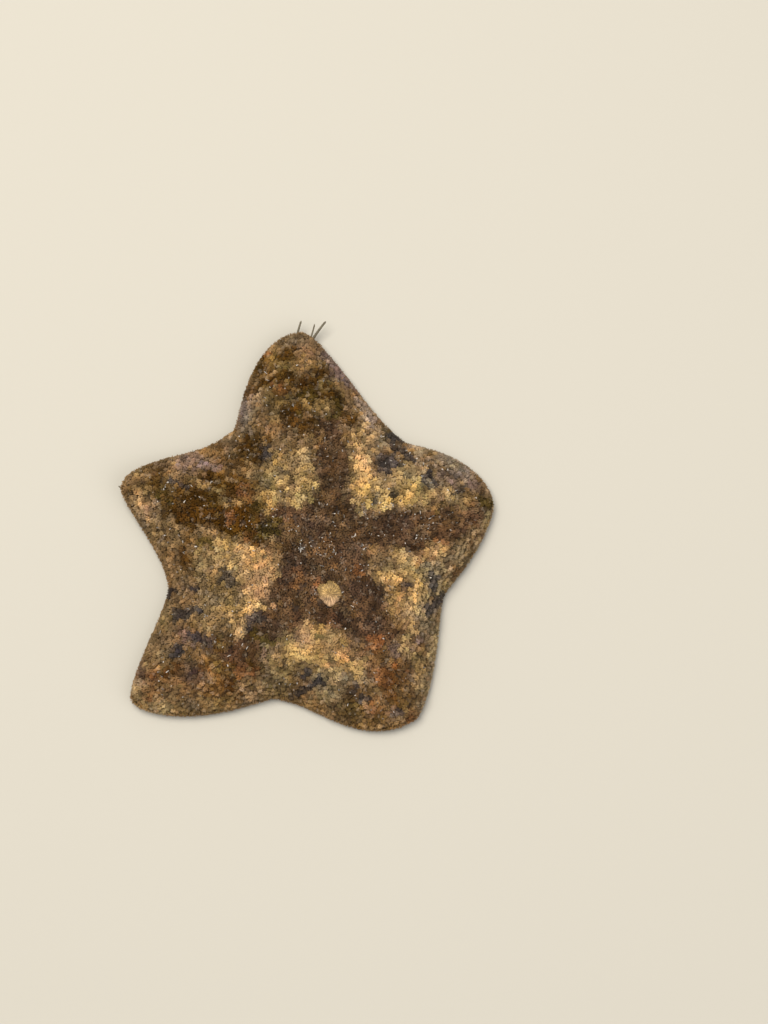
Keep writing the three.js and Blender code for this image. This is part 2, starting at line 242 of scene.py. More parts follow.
def put_mesh(name, points, faces, pigment, uv=None):
    """A smooth-shaded mesh object from points in mm about the disc centre and arrays of face corners."""
    mesh = bpy.data.meshes.new(name)
    place = (np.asarray(points, float) + np.array([*DISC_CENTRE, 0.0])) * MM
    corners = np.concatenate([f.ravel() for f in faces]).astype(np.int32)
    sizes = np.concatenate([np.full(len(f), f.shape[1]) for f in faces])
    starts = np.concatenate([[0], np.cumsum(sizes)[:-1]]).astype(np.int32)
    mesh.vertices.add(len(place))
    mesh.vertices.foreach_set("co", place.astype(np.float32).ravel())
    mesh.loops.add(len(corners))
    mesh.loops.foreach_set("vertex_index", corners)
    mesh.polygons.add(len(sizes))
    mesh.polygons.foreach_set("loop_start", starts)
    mesh.polygons.foreach_set("use_smooth", np.ones(len(sizes), bool))
    mesh.update(calc_edges=True)
    colour = mesh.attributes.new("pigment", "FLOAT_COLOR", "POINT")
    colour.data.foreach_set("color", np.asarray(pigment, np.float32).ravel())
    if uv is not None:
        unwrap = mesh.uv_layers.new(name="OFBake")
        unwrap.data.foreach_set("uv", np.asarray(uv, np.float32)[corners].ravel())
    mesh.validate()
    obj = bpy.data.objects.new(name, mesh)
    bpy.context.scene.collection.objects.link(obj)
    print(f"{name}: {len(place)} points, {int((sizes - 2).sum())} triangles")
    return obj


def grid_faces(rows, columns, wrap=False):
    """The quads of a grid of points stored row by row, closed round its columns if it wraps."""
    last = columns if wrap else columns - 1
    row, column = np.meshgrid(np.arange(rows - 1), np.arange(last), indexing="ij")
    near, far = row * columns, (row + 1) * columns
    after = (column + 1) % columns
    return np.stack([near + column, near + after, far + after, far + column], axis=-1).reshape(-1, 4)


def fan(ring, middle):
    """Triangles from each edge of a closed ring of points to one more point."""
    return np.stack([ring, np.roll(ring, -1), np.full(len(ring), middle)], axis=-1)


def closed_faces(rings, around, flip=False):
    """Walls between closed rings and fans to the two poles, stored after the rings; flip turns all over."""
    ring = np.arange(around)
    wall = grid_faces(rings, around, wrap=True)
    start = fan(ring, rings * around)
    end = fan((rings - 1) * around + ring, rings * around + 1)
    if flip:
        return [wall[:, ::-1], start, end[:, [1, 0, 2]]]
    return [wall, start[:, [1, 0, 2]], end]


def repeated(faces, count, size):
    """The faces of one body, for a number of bodies whose points follow each other."""
    shift = (np.arange(count) * size)[:, None, None]
    return [(part[None] + shift).reshape(-1, part.shape[1]) for part in faces]


print("faces of a grid of 3 by 4 points:", len(grid_faces(3, 4)))

# %% [markdown]
# ## Noise, for everything that isn't regular
# Value noise is the simplest there is: random numbers on a lattice, blended smoothly between the
# lattice points. It is scaled so that it strays about one unit either way, which makes every
# strength below a plain percentage. The same seed gives the same animal every time.

# %% Noise
LATTICE_LAYERS, LATTICE_SIDE = 12, 64
LATTICE_SPREAD = 1.35  # makes up for the blending, which draws the values together
LATTICE_SHIFT = (31.7, 17.3)  # in cells, so that no corner of the lattice lies on the disc centre
LATTICE = LATTICE_SPREAD * np.random.default_rng(7).standard_normal(
    (LATTICE_LAYERS, LATTICE_SIDE, LATTICE_SIDE)).clip(-2.0, 2.0)


def noise(x, y, size, layer):
    """Value noise of spread one: a random lattice of the given cell size, blended by soft steps."""
    grid = LATTICE[layer]
    u, v = x / size + LATTICE_SHIFT[0], y / size + LATTICE_SHIFT[1]
    column, row = np.floor(u).astype(int), np.floor(v).astype(int)
    across, up = smooth(u - column), smooth(v - row)
    column, row = column % LATTICE_SIDE, row % LATTICE_SIDE
    right, above = (column + 1) % LATTICE_SIDE, (row + 1) % LATTICE_SIDE
    low = grid[row, column] * (1.0 - across) + grid[row, right] * across
    high = grid[above, column] * (1.0 - across) + grid[above, right] * across
    return low * (1.0 - up) + high * up


def clouds(x, y, layers, start=0.0):
    """Noises added to a start value: each layer is a strength, a size in mm and a lattice layer."""
    return sum((strength * noise(x, y, size, layer) for strength, size, layer in layers), start)


print("spread of the lattice:", round(float(LATTICE.std()), 2))

# %% [markdown]
# ## The pigments
# The colour of the back is a map of pigments: a dark star of umber bands down the arms, ochre
# patches in the webs, charcoal spots and a little rust. Each pigment is a linear colour, as the
# shader takes it, so the numbers look darker than the colours on the screen.

# %% Pigments
PIGMENT = {
    "base": (0.225, 0.138, 0.062),
    "hazel": (0.205, 0.120, 0.052),
    "honey": (0.250, 0.160, 0.066),
    "olive": (0.400, 0.280, 0.125),
    "tan": (0.350, 0.250, 0.130),
    "slate": (0.310, 0.235, 0.170),
    "ash": (0.210, 0.140, 0.105),
    "gold": (0.172, 0.104, 0.033),
    "bark": (0.142, 0.079, 0.024),
    "chestnut": (0.074, 0.031, 0.003),
    "umber": (0.112, 0.060, 0.029),
    "deep": (0.066, 0.036, 0.019),
    "moss": (0.078, 0.050, 0.010),
    "ochre": (0.540, 0.350, 0.138),
    "peach": (0.570, 0.315, 0.140),
    "soot": (0.062, 0.049, 0.042),
    "rust": (0.290, 0.125, 0.045),
    "cream": (0.620, 0.500, 0.330),
    "bleached_and_glint": (0.480, 0.375, 0.270),
}
print("pigments:", len(PIGMENT))

# %% [markdown]
# ## The strokes
# The pigments are laid over one another as soft strokes, the way a painter would block them in.
# A stroke is a chain of round dabs, each given by its place from the disc centre and its radius,
# all in millimetres. With every pigment go a strength, and the width over which its edges fade.

# %% Strokes
STROKES = [
    ("hazel", 0.85, 1.6, [
        [(-13.0, -15.0, 5.0), (-22.0, -20.0, 4.0)],
        [(8.0, -14.0, 4.5), (10.5, -22.0, 4.0)],
    ]),
    ("honey", 0.85, 1.6, [
        [(-10.0, -2.0, 3.0), (-13.0, -3.0, 3.2), (-12.5, -9.0, 3.0)],
        [(-5.0, 10.5, 2.6), (-9.5, 10.5, 2.0)],
        [(-8.0, -16.5, 1.5), (-4.0, -17.5, 1.8)],
    ]),
    ("olive", 0.8, 1.6, [
        [(10.0, 8.0, 2.2), (14.0, 9.5, 2.4)],
        [(8.0, 13.5, 1.8), (7.5, 17.0, 1.2)],
    ]),
    ("tan", 0.8, 1.4, [
        [(14.0, -3.0, 1.6), (14.2, -8.0, 1.8), (14.0, -12.0, 1.0)],
        [(14.0, -15.0, 1.0), (14.2, -19.5, 0.8)],
        [(2.0, -19.3, 1.8)],
        [(16.3, -1.5, 1.2), (17.0, -7.0, 1.4), (16.0, -12.5, 1.2), (15.6, -17.5, 1.2), (15.0, -21.5, 1.0)],
        [(22.8, 3.0, 1.2), (24.0, 6.0, 0.9)],
        [(-24.0, -19.5, 1.2), (-21.0, -22.0, 1.0)],
        [(5.0, -17.0, 1.8), (1.0, -17.0, 1.0)],
        [(21.0, 2.0, 1.2), (19.0, -1.0, 1.2)],
    ]),
    ("slate", 0.75, 1.4, [
        [(-8.3, 21.0, 0.9), (-9.5, 18.5, 1.7), (-9.0, 16.6, 1.3)],
        [(8.3, 17.3, 1.1), (7.0, 19.3, 0.8)],
        [(14.5, 14.0, 1.6), (18.5, 12.3, 1.6), (21.5, 9.5, 1.0)],
    ]),
    ("gold", 0.9, 1.4, [
        [(-5.5, 26.0, 1.8), (-3.0, 25.0, 2.0)],
        [(-4.0, 20.0, 2.6), (1.5, 20.0, 2.8)],
        [(-6.5, 21.8, 1.2)],
    ]),
    ("bark", 0.9, 1.8, [
        [(-21.5, 8.0, 2.6), (-15.0, 6.5, 4.2), (-8.5, 5.0, 3.6)],
        [(-11.0, 11.5, 2.0), (-8.0, 13.5, 1.8)],
        [(-11.0, -15.5, 2.6), (-12.5, -20.0, 1.8)],
        [(-20.0, -16.5, 1.6)],
        [(9.5, -16.0, 2.0), (11.0, -21.0, 1.6)],
        [(5.5, -21.5, 1.6), (8.0, -23.5, 1.2)],
    ]),
    ("chestnut", 0.9, 1.2, [
        [(-19.0, 4.6, 1.2), (-14.5, 4.0, 1.7), (-10.5, 2.8, 1.5), (-7.0, 1.2, 1.4)],
        [(-14.5, 9.6, 0.9), (-12.6, 8.0, 0.9)],
        [(-19.8, -16.8, 0.9)],
        [(9.8, -16.0, 0.9), (10.2, -18.2, 0.7)],
        [(-23.6, 8.4, 0.8)],
        [(-20.0, 6.8, 1.2), (-14.5, 6.6, 1.9), (-9.5, 4.5, 1.9), (-5.5, 3.4, 2.0)],
        [(-16.3, 3.4, 0.9)],
        [(-9.0, 13.9, 1.3), (-7.0, 13.2, 0.9)],
        [(-11.5, 8.3, 1.2), (-9.0, 7.6, 1.0)],
        [(-22.2, 8.7, 0.9)],
        [(-17.6, 0.6, 0.6), (-17.8, -2.2, 0.5)],
        [(2.8, 18.1, 0.7), (4.3, 17.3, 0.8)],
        [(-3.3, 17.8, 0.7)],
        [(-7.5, 22.9, 0.8), (-4.8, 23.5, 0.8), (-2.6, 23.0, 0.6)],
        [(-16.0, -11.9, 0.7), (-13.2, -13.3, 1.1), (-10.5, -15.2, 1.5), (-8.6, -16.0, 0.9)],
        [(-10.5, -19.0, 1.0), (-12.5, -18.8, 0.8)],
        [(-14.4, -16.3, 0.7)],
        [(-1.3, 23.4, 1.0), (1.4, 23.2, 0.9)],
        [(-3.4, 18.6, 1.0), (-2.0, 16.4, 1.0), (2.4, 16.6, 1.0)],
        [(-4.8, 21.4, 0.8), (3.4, 20.4, 0.8)],
        [(-0.6, 20.5, 0.9)],
        [(-9.2, 20.6, 0.6), (-8.4, 22.6, 0.7), (-7.0, 25.4, 0.6)],
        [(-3.1, 26.8, 0.9)],
    ]),
    ("umber", 0.95, 0.9, [
        [(2.0, 17.5, 1.0), (2.2, 13.5, 2.1), (2.1, 9.0, 2.1), (2.0, 5.0, 2.6)],
        [(4.9, 2.2, 3.2), (12.0, 2.2, 2.6), (16.5, 2.8, 1.9), (20.5, 3.8, 1.4), (23.0, 5.8, 1.0)],
        [(4.2, -4.5, 3.3), (7.0, -8.5, 2.8), (8.8, -11.5, 2.0)],
        [(10.8, -13.8, 1.2)],
        [(7.2, -16.3, 0.9)],
        [(-2.0, -5.5, 3.4), (-5.0, -10.0, 2.6), (-8.5, -13.5, 2.0), (-12.0, -15.0, 1.2)],
        [(-2.0, 1.5, 3.3), (-5.0, 3.0, 2.0)],
        [(1.6, -0.7, 5.8)],
        [(1.5, -9.3, 1.8), (4.5, -10.5, 1.6)],
    ]),
    ("deep", 0.9, 0.9, [
        [(6.5, -6.0, 1.8)],
        [(-3.4, -4.4, 1.0), (-2.6, -1.0, 0.8)],
        [(5.0, -10.0, 1.2), (2.0, -9.4, 1.0)],
        [(8.0, 3.5, 1.0), (11.5, 3.8, 1.0)],
    ]),
    ("moss", 0.85, 0.7, [
        [(-1.0, 20.5, 1.1)],
        [(-1.8, 17.4, 0.7)],
        [(3.2, 19.8, 0.6), (2.8, 17.6, 0.7)],
        [(-20.2, 7.3, 0.8), (-19.3, 6.4, 0.6)],
        [(-7.0, 5.6, 1.0), (-5.5, 4.6, 0.7)],
        [(-5.5, 2.0, 1.3), (-7.5, 1.8, 0.9)],
        [(-14.8, 0.5, 0.8), (-12.8, 0.7, 0.6)],
        [(-7.5, -11.5, 1.2), (-6.0, -13.0, 0.8)],
        [(17.2, 6.0, 0.8)],
        [(23.3, 6.5, 0.8)],
        [(-6.0, -15.6, 0.6)],
    ]),
    ("ash", 0.8, 0.9, [
        [(1.0, 26.8, 1.1), (2.7, 24.6, 1.0), (4.6, 22.2, 0.7)],
        [(18.7, 10.2, 0.9), (18.2, 9.0, 0.5)],
        [(22.0, 9.0, 0.5)],
        [(-18.3, 11.4, 0.8), (-15.0, 11.6, 0.8), (-13.4, 11.3, 0.5)],
        [(-17.0, -12.2, 0.8)],
        [(13.6, -13.0, 0.5)],
        [(10.9, -13.7, 1.0)],
        [(-14.6, -13.4, 0.6)],
    ]),
    ("ochre", 0.95, 0.9, [
        [(5.2, 14.7, 0.45), (5.5, 13.4, 0.85), (6.3, 11.2, 1.45), (6.8, 8.4, 1.65), (6.4, 6.3, 1.05)],
        [(6.4, 6.0, 0.85), (9.5, 5.6, 0.65), (12.3, 6.1, 0.95), (15.3, 6.9, 0.75)],
        [(10.0, 7.4, 0.95), (12.5, 7.0, 0.8)],
        [(17.6, 7.6, 0.65), (18.6, 6.6, 0.65)],
        [(-1.5, 12.8, 0.5), (-1.6, 10.0, 0.8), (-1.3, 7.8, 1.4), (-1.7, 6.2, 1.0)],
        [(-2.9, 7.7, 0.65), (-4.3, 6.3, 0.9), (-5.3, 5.2, 1.2)],
        [(-4.0, 9.3, 0.85), (-5.7, 7.3, 0.65)],
        [(-6.8, 7.1, 0.6)],
        [(-12.6, 1.2, 0.5), (-11.0, -1.0, 0.6), (-9.3, -2.2, 0.7)],
        [(-7.4, -1.6, 0.8), (-7.8, -3.0, 1.55), (-7.2, -5.0, 1.75), (-7.4, -7.0, 1.6), (-8.2, -8.8, 1.1)],
        [(-9.5, -2.2, 1.15)],
        [(-0.2, -10.9, 0.9), (-0.8, -12.2, 1.5)],
        [(-2.8, -13.9, 1.4), (0.6, -13.8, 1.6), (3.0, -14.0, 1.5), (3.8, -15.6, 0.95)],
        [(2.3, -12.3, 0.85)],
        [(6.2, -15.2, 0.75), (5.8, -16.6, 0.85)],
        [(10.9, -3.9, 1.1), (10.3, -5.4, 1.4), (10.9, -7.6, 1.3), (12.5, -10.0, 1.4), (12.6, -11.4, 1.0)],
        [(11.3, -1.5, 0.7), (12.3, -2.0, 1.1), (13.2, -3.6, 1.2), (13.0, -6.0, 0.9)],
        [(13.4, -1.2, 0.7), (15.2, -0.9, 0.6)],
        [(-9.7, -9.9, 0.9), (-10.1, -11.2, 0.6)],
        [(16.8, 0.2, 0.6), (16.2, -2.4, 0.85)],
    ]),
    ("peach", 0.8, 0.8, [
        [(-6.1, -5.4, 0.7), (-6.6, -7.2, 0.8)],
        [(-23.0, 5.7, 0.6), (-22.4, 4.7, 0.5)],
        [(3.3, -15.5, 0.5)],
    ]),
    ("peach", 0.5, 1.2, [
        [(-9.4, -1.6, 0.7), (-7.6, -3.4, 1.2), (-6.9, -6.4, 1.2)],
        [(5.5, 12.0, 0.6), (6.3, 8.4, 0.9)],
        [(-1.0, -12.4, 0.7), (3.4, -14.4, 0.9)],
        [(10.0, -5.4, 0.7), (11.0, -8.0, 0.6)],
        [(-23.6, 7.2, 0.8)],
    ]),
    ("ochre", 0.38, 1.3, [
        [(-11.5, -3.0, 1.8)],
        [(-14.5, -2.0, 1.2)],
        [(-5.2, 11.0, 1.2), (-5.0, 8.6, 0.8)],
        [(13.0, 10.3, 1.0), (11.8, 8.8, 0.6)],
        [(14.3, -5.6, 0.9)],
        [(-5.5, -15.7, 1.0), (-4.4, -14.6, 0.7)],
        [(-1.3, 25.4, 0.7)],
        [(-24.6, 8.7, 1.0), (-23.0, 7.6, 0.8), (-23.8, 5.6, 0.6)],
    ]),
    ("ochre", 0.45, 0.5, [
        [(-1.2, 19.3, 0.3), (0.6, 18.6, 0.35), (1.9, 18.9, 0.2)],
        [(-4.9, 17.6, 0.5)],
        [(2.4, 22.3, 0.2), (3.9, 20.4, 0.2)],
        [(-16.2, 9.1, 0.25), (-13.9, 8.2, 0.35), (-12.7, 6.7, 0.35)],
        [(-12.3, 5.9, 0.25), (-9.3, 6.0, 0.3)],
        [(-12.6, -13.4, 0.45)],
        [(-13.3, -16.2, 0.45)],
        [(-15.1, -20.5, 0.45)],
        [(-17.5, -19.0, 0.4)],
        [(-22.0, -16.5, 0.5)],
        [(-23.3, -20.0, 0.4)],
        [(-6.5, -18.5, 0.4)],
        [(7.8, -18.8, 0.5)],
        [(8.7, -21.0, 0.55)],
        [(11.3, -20.8, 0.35)],
        [(13.3, -14.8, 0.6), (13.9, -17.0, 0.6)],
    ]),
    ("soot", 0.92, 0.6, [
        [(9.2, 11.2, 1.0), (10.6, 10.2, 0.9)],
        [(9.1, 11.6, 0.62)],
        [(11.3, 15.4, 1.02), (10.9, 13.8, 0.82), (11.0, 12.7, 0.92), (12.6, 11.7, 0.52)],
        [(15.9, 9.5, 0.8), (14.8, 9.0, 0.9)],
        [(16.4, 8.5, 0.52)],
        [(8.2, 6.5, 0.72)],
        [(10.8, 6.6, 0.47)],
        [(19.6, 7.5, 0.62)],
        [(-6.8, 13.1, 0.82)],
        [(-18.8, 9.3, 0.92), (-17.9, 8.5, 0.62)],
        [(-10.9, -4.7, 0.82), (-11.4, -4.1, 0.52)],
        [(-15.8, -5.9, 0.62)],
        [(-15.2, -8.9, 0.62)],
        [(-18.1, -9.5, 0.72), (-16.9, -9.6, 0.62)],
        [(-15.3, -12.2, 0.92), (-16.4, -12.0, 0.62)],
        [(-18.8, -13.5, 0.87)],
        [(-19.6, -6.0, 0.62)],
        [(-8.1, -10.3, 0.82), (-6.9, -9.6, 0.62)],
        [(-1.3, -16.9, 0.77), (-2.1, -17.2, 0.52)],
        [(1.5, -17.4, 0.57), (0.3, -18.1, 0.62), (-0.5, -18.7, 0.62)],
        [(-1.7, -19.4, 0.57), (-2.9, -20.0, 0.62)],
        [(4.9, -19.0, 0.52)],
        [(15.4, -4.0, 0.6), (15.9, -5.2, 0.8)],
        [(16.4, -7.1, 0.87), (15.1, -8.6, 0.62)],
        [(17.3, -6.3, 0.62)],
        [(12.6, -4.9, 0.47)],
        [(12.2, -11.6, 0.42)],
        [(-3.3, 6.9, 0.42)],
        [(-16.6, -16.9, 0.62)],
        [(10.7, -22.0, 0.82)],
        [(6.5, -20.6, 0.62)],
    ]),
    ("rust", 0.3, 1.8, [
        [(8.6, -15.4, 1.6), (10.2, -19.8, 1.8)],
        [(-12.6, -18.6, 1.8), (-20.0, -18.0, 1.6)],
    ]),
    ("rust", 0.7, 0.8, [
        [(9.3, -15.8, 0.9), (11.0, -16.4, 0.7)],
        [(9.0, -17.3, 1.1)],
        [(8.3, -13.0, 0.9)],
        [(14.5, -1.4, 0.7)],
        [(17.0, 1.2, 0.5)],
        [(-8.9, 7.3, 0.8)],
        [(-9.3, -17.2, 0.8)],
        [(-21.3, -17.6, 0.7)],
        [(-22.0, -20.3, 0.6)],
        [(7.8, -22.0, 0.5)],
        [(12.8, -22.7, 0.6)],
        [(-4.6, 21.2, 0.8)],
        [(-6.6, 27.0, 0.7)],
        [(5.5, -4.2, 0.4)],
        [(-2.2, -4.5, 0.6)],
        [(0.4, -4.5, 0.4)],
        [(-10.8, 3.8, 0.6)],
    ]),
]
print("strokes:", sum(len(chains) for _, _, _, chains in STROKES))

# %% [markdown]
# ## Laying the strokes
# The places are warped by noise first, so that no edge is a clean arc, and the edges are frayed by
# finer noise. The function works on whole arrays, so skin, plates and spinelets can all ask it for
# their colour and always agree.

# %% Markings
WARP_ACROSS = [(0.34, 2.6, 0), (0.2, 0.9, 1)]  # strength, size in mm, lattice layer
WARP_UP = [(0.34, 2.6, 2), (0.2, 0.9, 3)]
FRAY = [(0.2, 1.2, 4), (0.28, 0.45, 5)]


def chain_depth(x, y, dabs):
    """How deep a place lies inside a chain of dabs: the dab's radius, blended along, less the distance."""
    dabs = dabs if len(dabs) > 1 else dabs * 2
    deepest = np.full_like(x, -np.inf)
    for (ax, ay, ar), (bx, by, br) in zip(dabs, dabs[1:]):
        square = max((bx - ax) ** 2 + (by - ay) ** 2, TINY)
        way = np.clip(((x - ax) * (bx - ax) + (y - ay) * (by - ay)) / square, 0.0, 1.0)
        gone = np.hypot(x - ax - way * (bx - ax), y - ay - way * (by - ay))
        deepest = np.maximum(deepest, ar + (br - ar) * way - gone)
    return deepest


def laid_over(colour, pigment, share, tone=1.0):
    """A pigment laid over colours: each goes its share of the way to the pigment times the tone."""
    return colour + (np.array(PIGMENT[pigment]) * tone - colour) * share[:, None]


def markings(x, y, scatter=0.0):
    """The back's pigment at each place: each stroke over the base, by half at its own edge."""
    warped_x, warped_y = clouds(x, y, WARP_ACROSS, x), clouds(x, y, WARP_UP, y)
    fray = clouds(x, y, FRAY) + scatter
    colour = np.ones((len(x), 3)) * PIGMENT["base"]
    for pigment, strength, softness, chains in STROKES:
        depth = np.max([chain_depth(warped_x, warped_y, dabs) for dabs in chains], axis=0)
        colour = laid_over(colour, pigment, strength * smooth(depth / softness + fray + 0.5))
    return colour


middle_colour = markings(np.zeros(1), np.zeros(1))[0]
print("colour in the middle of the back:", [round(float(v), 3) for v in middle_colour])

# %% [markdown]
# ## Small changes of colour
# No two plates or spinelets of an animal have quite the same colour. A factor of lightness and one
# of hue vary it in clouds of several sizes, and some specks are pale, partly from bleaching and
# partly as painted glints. A factor that is e to the power of a noise is never negative, and it
# lightens as often as it darkens.

# %% Mottling, drift and flecks
MOTTLE = [(0.07, 3.1, 6), (0.16, 1.3, 7), (0.17, 0.7, 8)]  # strength, size in mm, lattice layer
WARMER = np.array([0.05, 0.0, -0.13])  # powers of e for red, green and blue
GREENER = np.array([-0.03, 0.02, -0.02])
WARM_CLOUDS, GREEN_CLOUDS = [(0.8, 1.7, 10)], [(0.8, 2.3, 11)]  # the changes that neighbours share
ONE_BY_ONE = 0.5  # and the strength of those that they don't
# pale flecks, partly bleaching and partly painted glints
GLINT_FLECK = {"most": 0.26, "size": 0.34, "layer": 9, "from": 0.9, "over": 1.2}
BRIGHTEST = 0.9


def mottle(x, y):
    """A factor of lightness, e to the power of noise at three sizes from 3 mm down to a single plate."""
    return np.exp(clouds(x, y, MOTTLE))[:, None]


def drift(x, y, rng):
    """Factors of hue, e to the power of noise: warm or cool and green or pink, in clouds and one by one."""
    warm = clouds(x, y, WARM_CLOUDS) + ONE_BY_ONE * rng.standard_normal(len(x))
    green = clouds(x, y, GREEN_CLOUDS) + ONE_BY_ONE * rng.standard_normal(len(x))
    return np.exp(warm[:, None] * WARMER + green[:, None] * GREENER)


def flecked_with_glints(colour, x, y):
    """Flecks smaller than a plate, partly bleaching and partly painted glints: where the finest noise is
    high, part of the way to the pale.
    """
    height = noise(x, y, GLINT_FLECK["size"], GLINT_FLECK["layer"])
    return laid_over(colour, "bleached_and_glint", GLINT_FLECK["most"] * smooth((height - GLINT_FLECK["from"]) / GLINT_FLECK["over"]))


def capped(colour):
    """Colours whose brightest channel is over the limit, scaled down to it, so that the hue stays."""
    return colour * np.minimum(1.0, BRIGHTEST / colour.max(axis=-1, keepdims=True))


def with_alpha(colour, alpha):
    """Colours with a fourth channel, which carries a height or a share for the material to read."""
    return np.concatenate([colour, np.broadcast_to(alpha, colour.shape[:-1])[..., None]], axis=-1)


def even_pigment(count, colour, alpha=0.5):
    """One colour and one share for all the points of a piece."""
    return with_alpha(np.ones((count, 3)) * colour, alpha)


print("mottling in the middle of the back:", round(float(mottle(np.zeros(1), np.zeros(1))[0, 0]), 2))

# %% [markdown]
# ## The skin
# The skin is one closed surface under the whole coat. A polar grid would crowd its points at the
# middle, so a square grid is wrapped onto the disc instead: each square ring of the grid becomes a
# ring of the star. The top sheet and the bottom sheet share the points of the rim. The square is
# also the skin's unwrap, with the back's on the left half of the map and the underside's on the
# right. Everything that stands on the skin uses the place of its root on that map.

# %% Square to star
EIGHTH = np.pi / 4.0  # of a turn
MAP_MIDDLE, MAP_HALF = np.array([0.25, 0.5]), np.array([0.24, 0.48])
MAP_BELOW = np.array([0.5, 0.0])


def square_to_polar(a, b):
    """A place in the square from -1 to 1 as (share out, angle): each square ring becomes a round one."""
    wide = np.abs(a) > np.abs(b)
    out = np.where(wide, np.abs(a), np.abs(b))
    with np.errstate(divide="ignore", invalid="ignore"):
        low = np.where(a != 0, b / a, 0.0) * EIGHTH
        high = np.where(b != 0, a / b, 0.0) * EIGHTH
    beside = low + np.where(a < 0, np.pi, 0.0)
    above = np.pi / 2.0 - high + np.where(b < 0, np.pi, 0.0)
    return out, np.where(wide, beside, above)


def polar_to_square(out, angle):
    """The way back: which place in the square a share out and an angle come from."""
    turned = np.mod(angle + EIGHTH, 2.0 * np.pi) - EIGHTH
    quarter = np.clip(np.floor((turned + EIGHTH) / (np.pi / 2.0)), 0, 3)
    swing = (turned - quarter * np.pi / 2.0) / EIGHTH * out
    quarters = [quarter == number for number in range(4)]
    return np.select(quarters, [out, -swing, -out, swing]), np.select(quarters, [swing, out, -swing, -out])


def map_place(a, b, below=False):
    """A place of the square on the unwrap: the back's square is at left, the underside's at right."""
    return MAP_MIDDLE + MAP_HALF * np.stack([a, b], axis=-1) + MAP_BELOW * below


def skin_map(x, y, below=False):
    """A root's place on the unwrap of the skin."""
    return map_place(*polar_to_square(np.minimum(out_at(x, y), 1.0), np.arctan2(y, x)), below)


_, corner_angle = square_to_polar(np.array([1.0]), np.array([1.0]))
print("the square's corner goes to the rim, degrees:", round(float(np.degrees(corner_angle[0])), 1))

# %% The skin's two sheets
SKIN_CELLS = 130
# painted shade: the skin is darkened for the shade that the coat throws on it between the tufts
SKIN_PAINTED_SHADE, BELLY_TONE = 0.55, 0.7  # the skin is darker than the coat on it
BELLY_EDGE, BELLY_FADE = 0.97, 0.12  # shares of the way out: where the belly's cream ends, and how softly
BESIDE_MIDDLE = 1e-6  # the middle point stands this far aside, because a bearing needs a distance


def belly_share(out):
    """How much of the belly's cream shows: all of it in the middle, none at the rim."""
    return smooth((BELLY_EDGE - out) / BELLY_FADE)


def make_skin():
    """The skin: the top and the bottom sheet over one square grid, joined at the grid's border."""
    line = np.linspace(-1.0, 1.0, SKIN_CELLS + 1)
    b, a = (grid.ravel() for grid in np.meshgrid(line, line, indexing="ij"))
    out, angle = square_to_polar(a, b)
    reach = (reach_at(np.degrees(angle)) - COAT) * out
    x, y = reach * np.cos(angle), reach * np.sin(angle)
    x[out == 0.0], y[out == 0.0] = BESIDE_MIDDLE, 0.0
    border = out >= 1.0 - TINY
    top = np.stack([x, y, back_height(x, y)], axis=-1)
    bottom = np.stack([x, y, under_height(x, y)], axis=-1)
    top[border, 2] = RIM_HEIGHT + lift_at(x, y)[border]
    number = np.where(border, np.arange(len(x)), len(x) + np.cumsum(~border) - 1)
    above = grid_faces(SKIN_CELLS + 1, SKIN_CELLS + 1)
    below = number[above][:, ::-1]
    # painted shade: the skin under the coat is darkened by the skin's factor
    back_colour = markings(x, y) * mottle(x, y) * SKIN_PAINTED_SHADE
    belly_tone = laid_over(back_colour, "cream", belly_share(out), BELLY_TONE)
    colour = np.concatenate([back_colour, belly_tone[~border]])
    uv = np.concatenate([map_place(a, b), map_place(a, b, below=True)[~border]])
    points = np.concatenate([top, bottom[~border]])
    return put_mesh("skin", points, [above, below], with_alpha(colour, 0.0), uv)


skin = make_skin()

# %% [markdown]
# ## One builder for every small body
# Plates, spinelets, spines and tube feet are all the same kind of thing: a short round body that
# stands on a root, with a profile turned about a leaning axis. So one function makes thousands of
# them at once. It takes arrays of roots, axes, radii and heights, turns one profile into rings
# round every axis, closes both ends, and writes the colour and the map place of each. The fourth
# channel of the colour is how far up the body a point is, by which the material paints shade onto
# the roots.

# %% The builder
UV_PATCH = 0.0015  # half the width of one small body's patch on the map
STEEP = 0.9  # an axis nearer to upright than this is crossed with the level instead of the plumb line
PLUMB, LEVEL = np.array([0.0, 0.0, 1.0]), np.array([1.0, 0.0, 0.0])


def unit(vectors):
    """Vectors brought to length one."""
    return vectors / np.linalg.norm(vectors, axis=-1, keepdims=True)


def side_vectors(axes, spin):
    """Two unit vectors across each axis and across each other, turned round it by an angle."""
    first = unit(np.cross(np.where(np.abs(axes[:, 2:3]) < STEEP, PLUMB, LEVEL), axes))
    second = np.cross(axes, first)
    c, s = np.cos(spin)[:, None], np.sin(spin)[:, None]
    return first * c + second * s, second * c - first * s


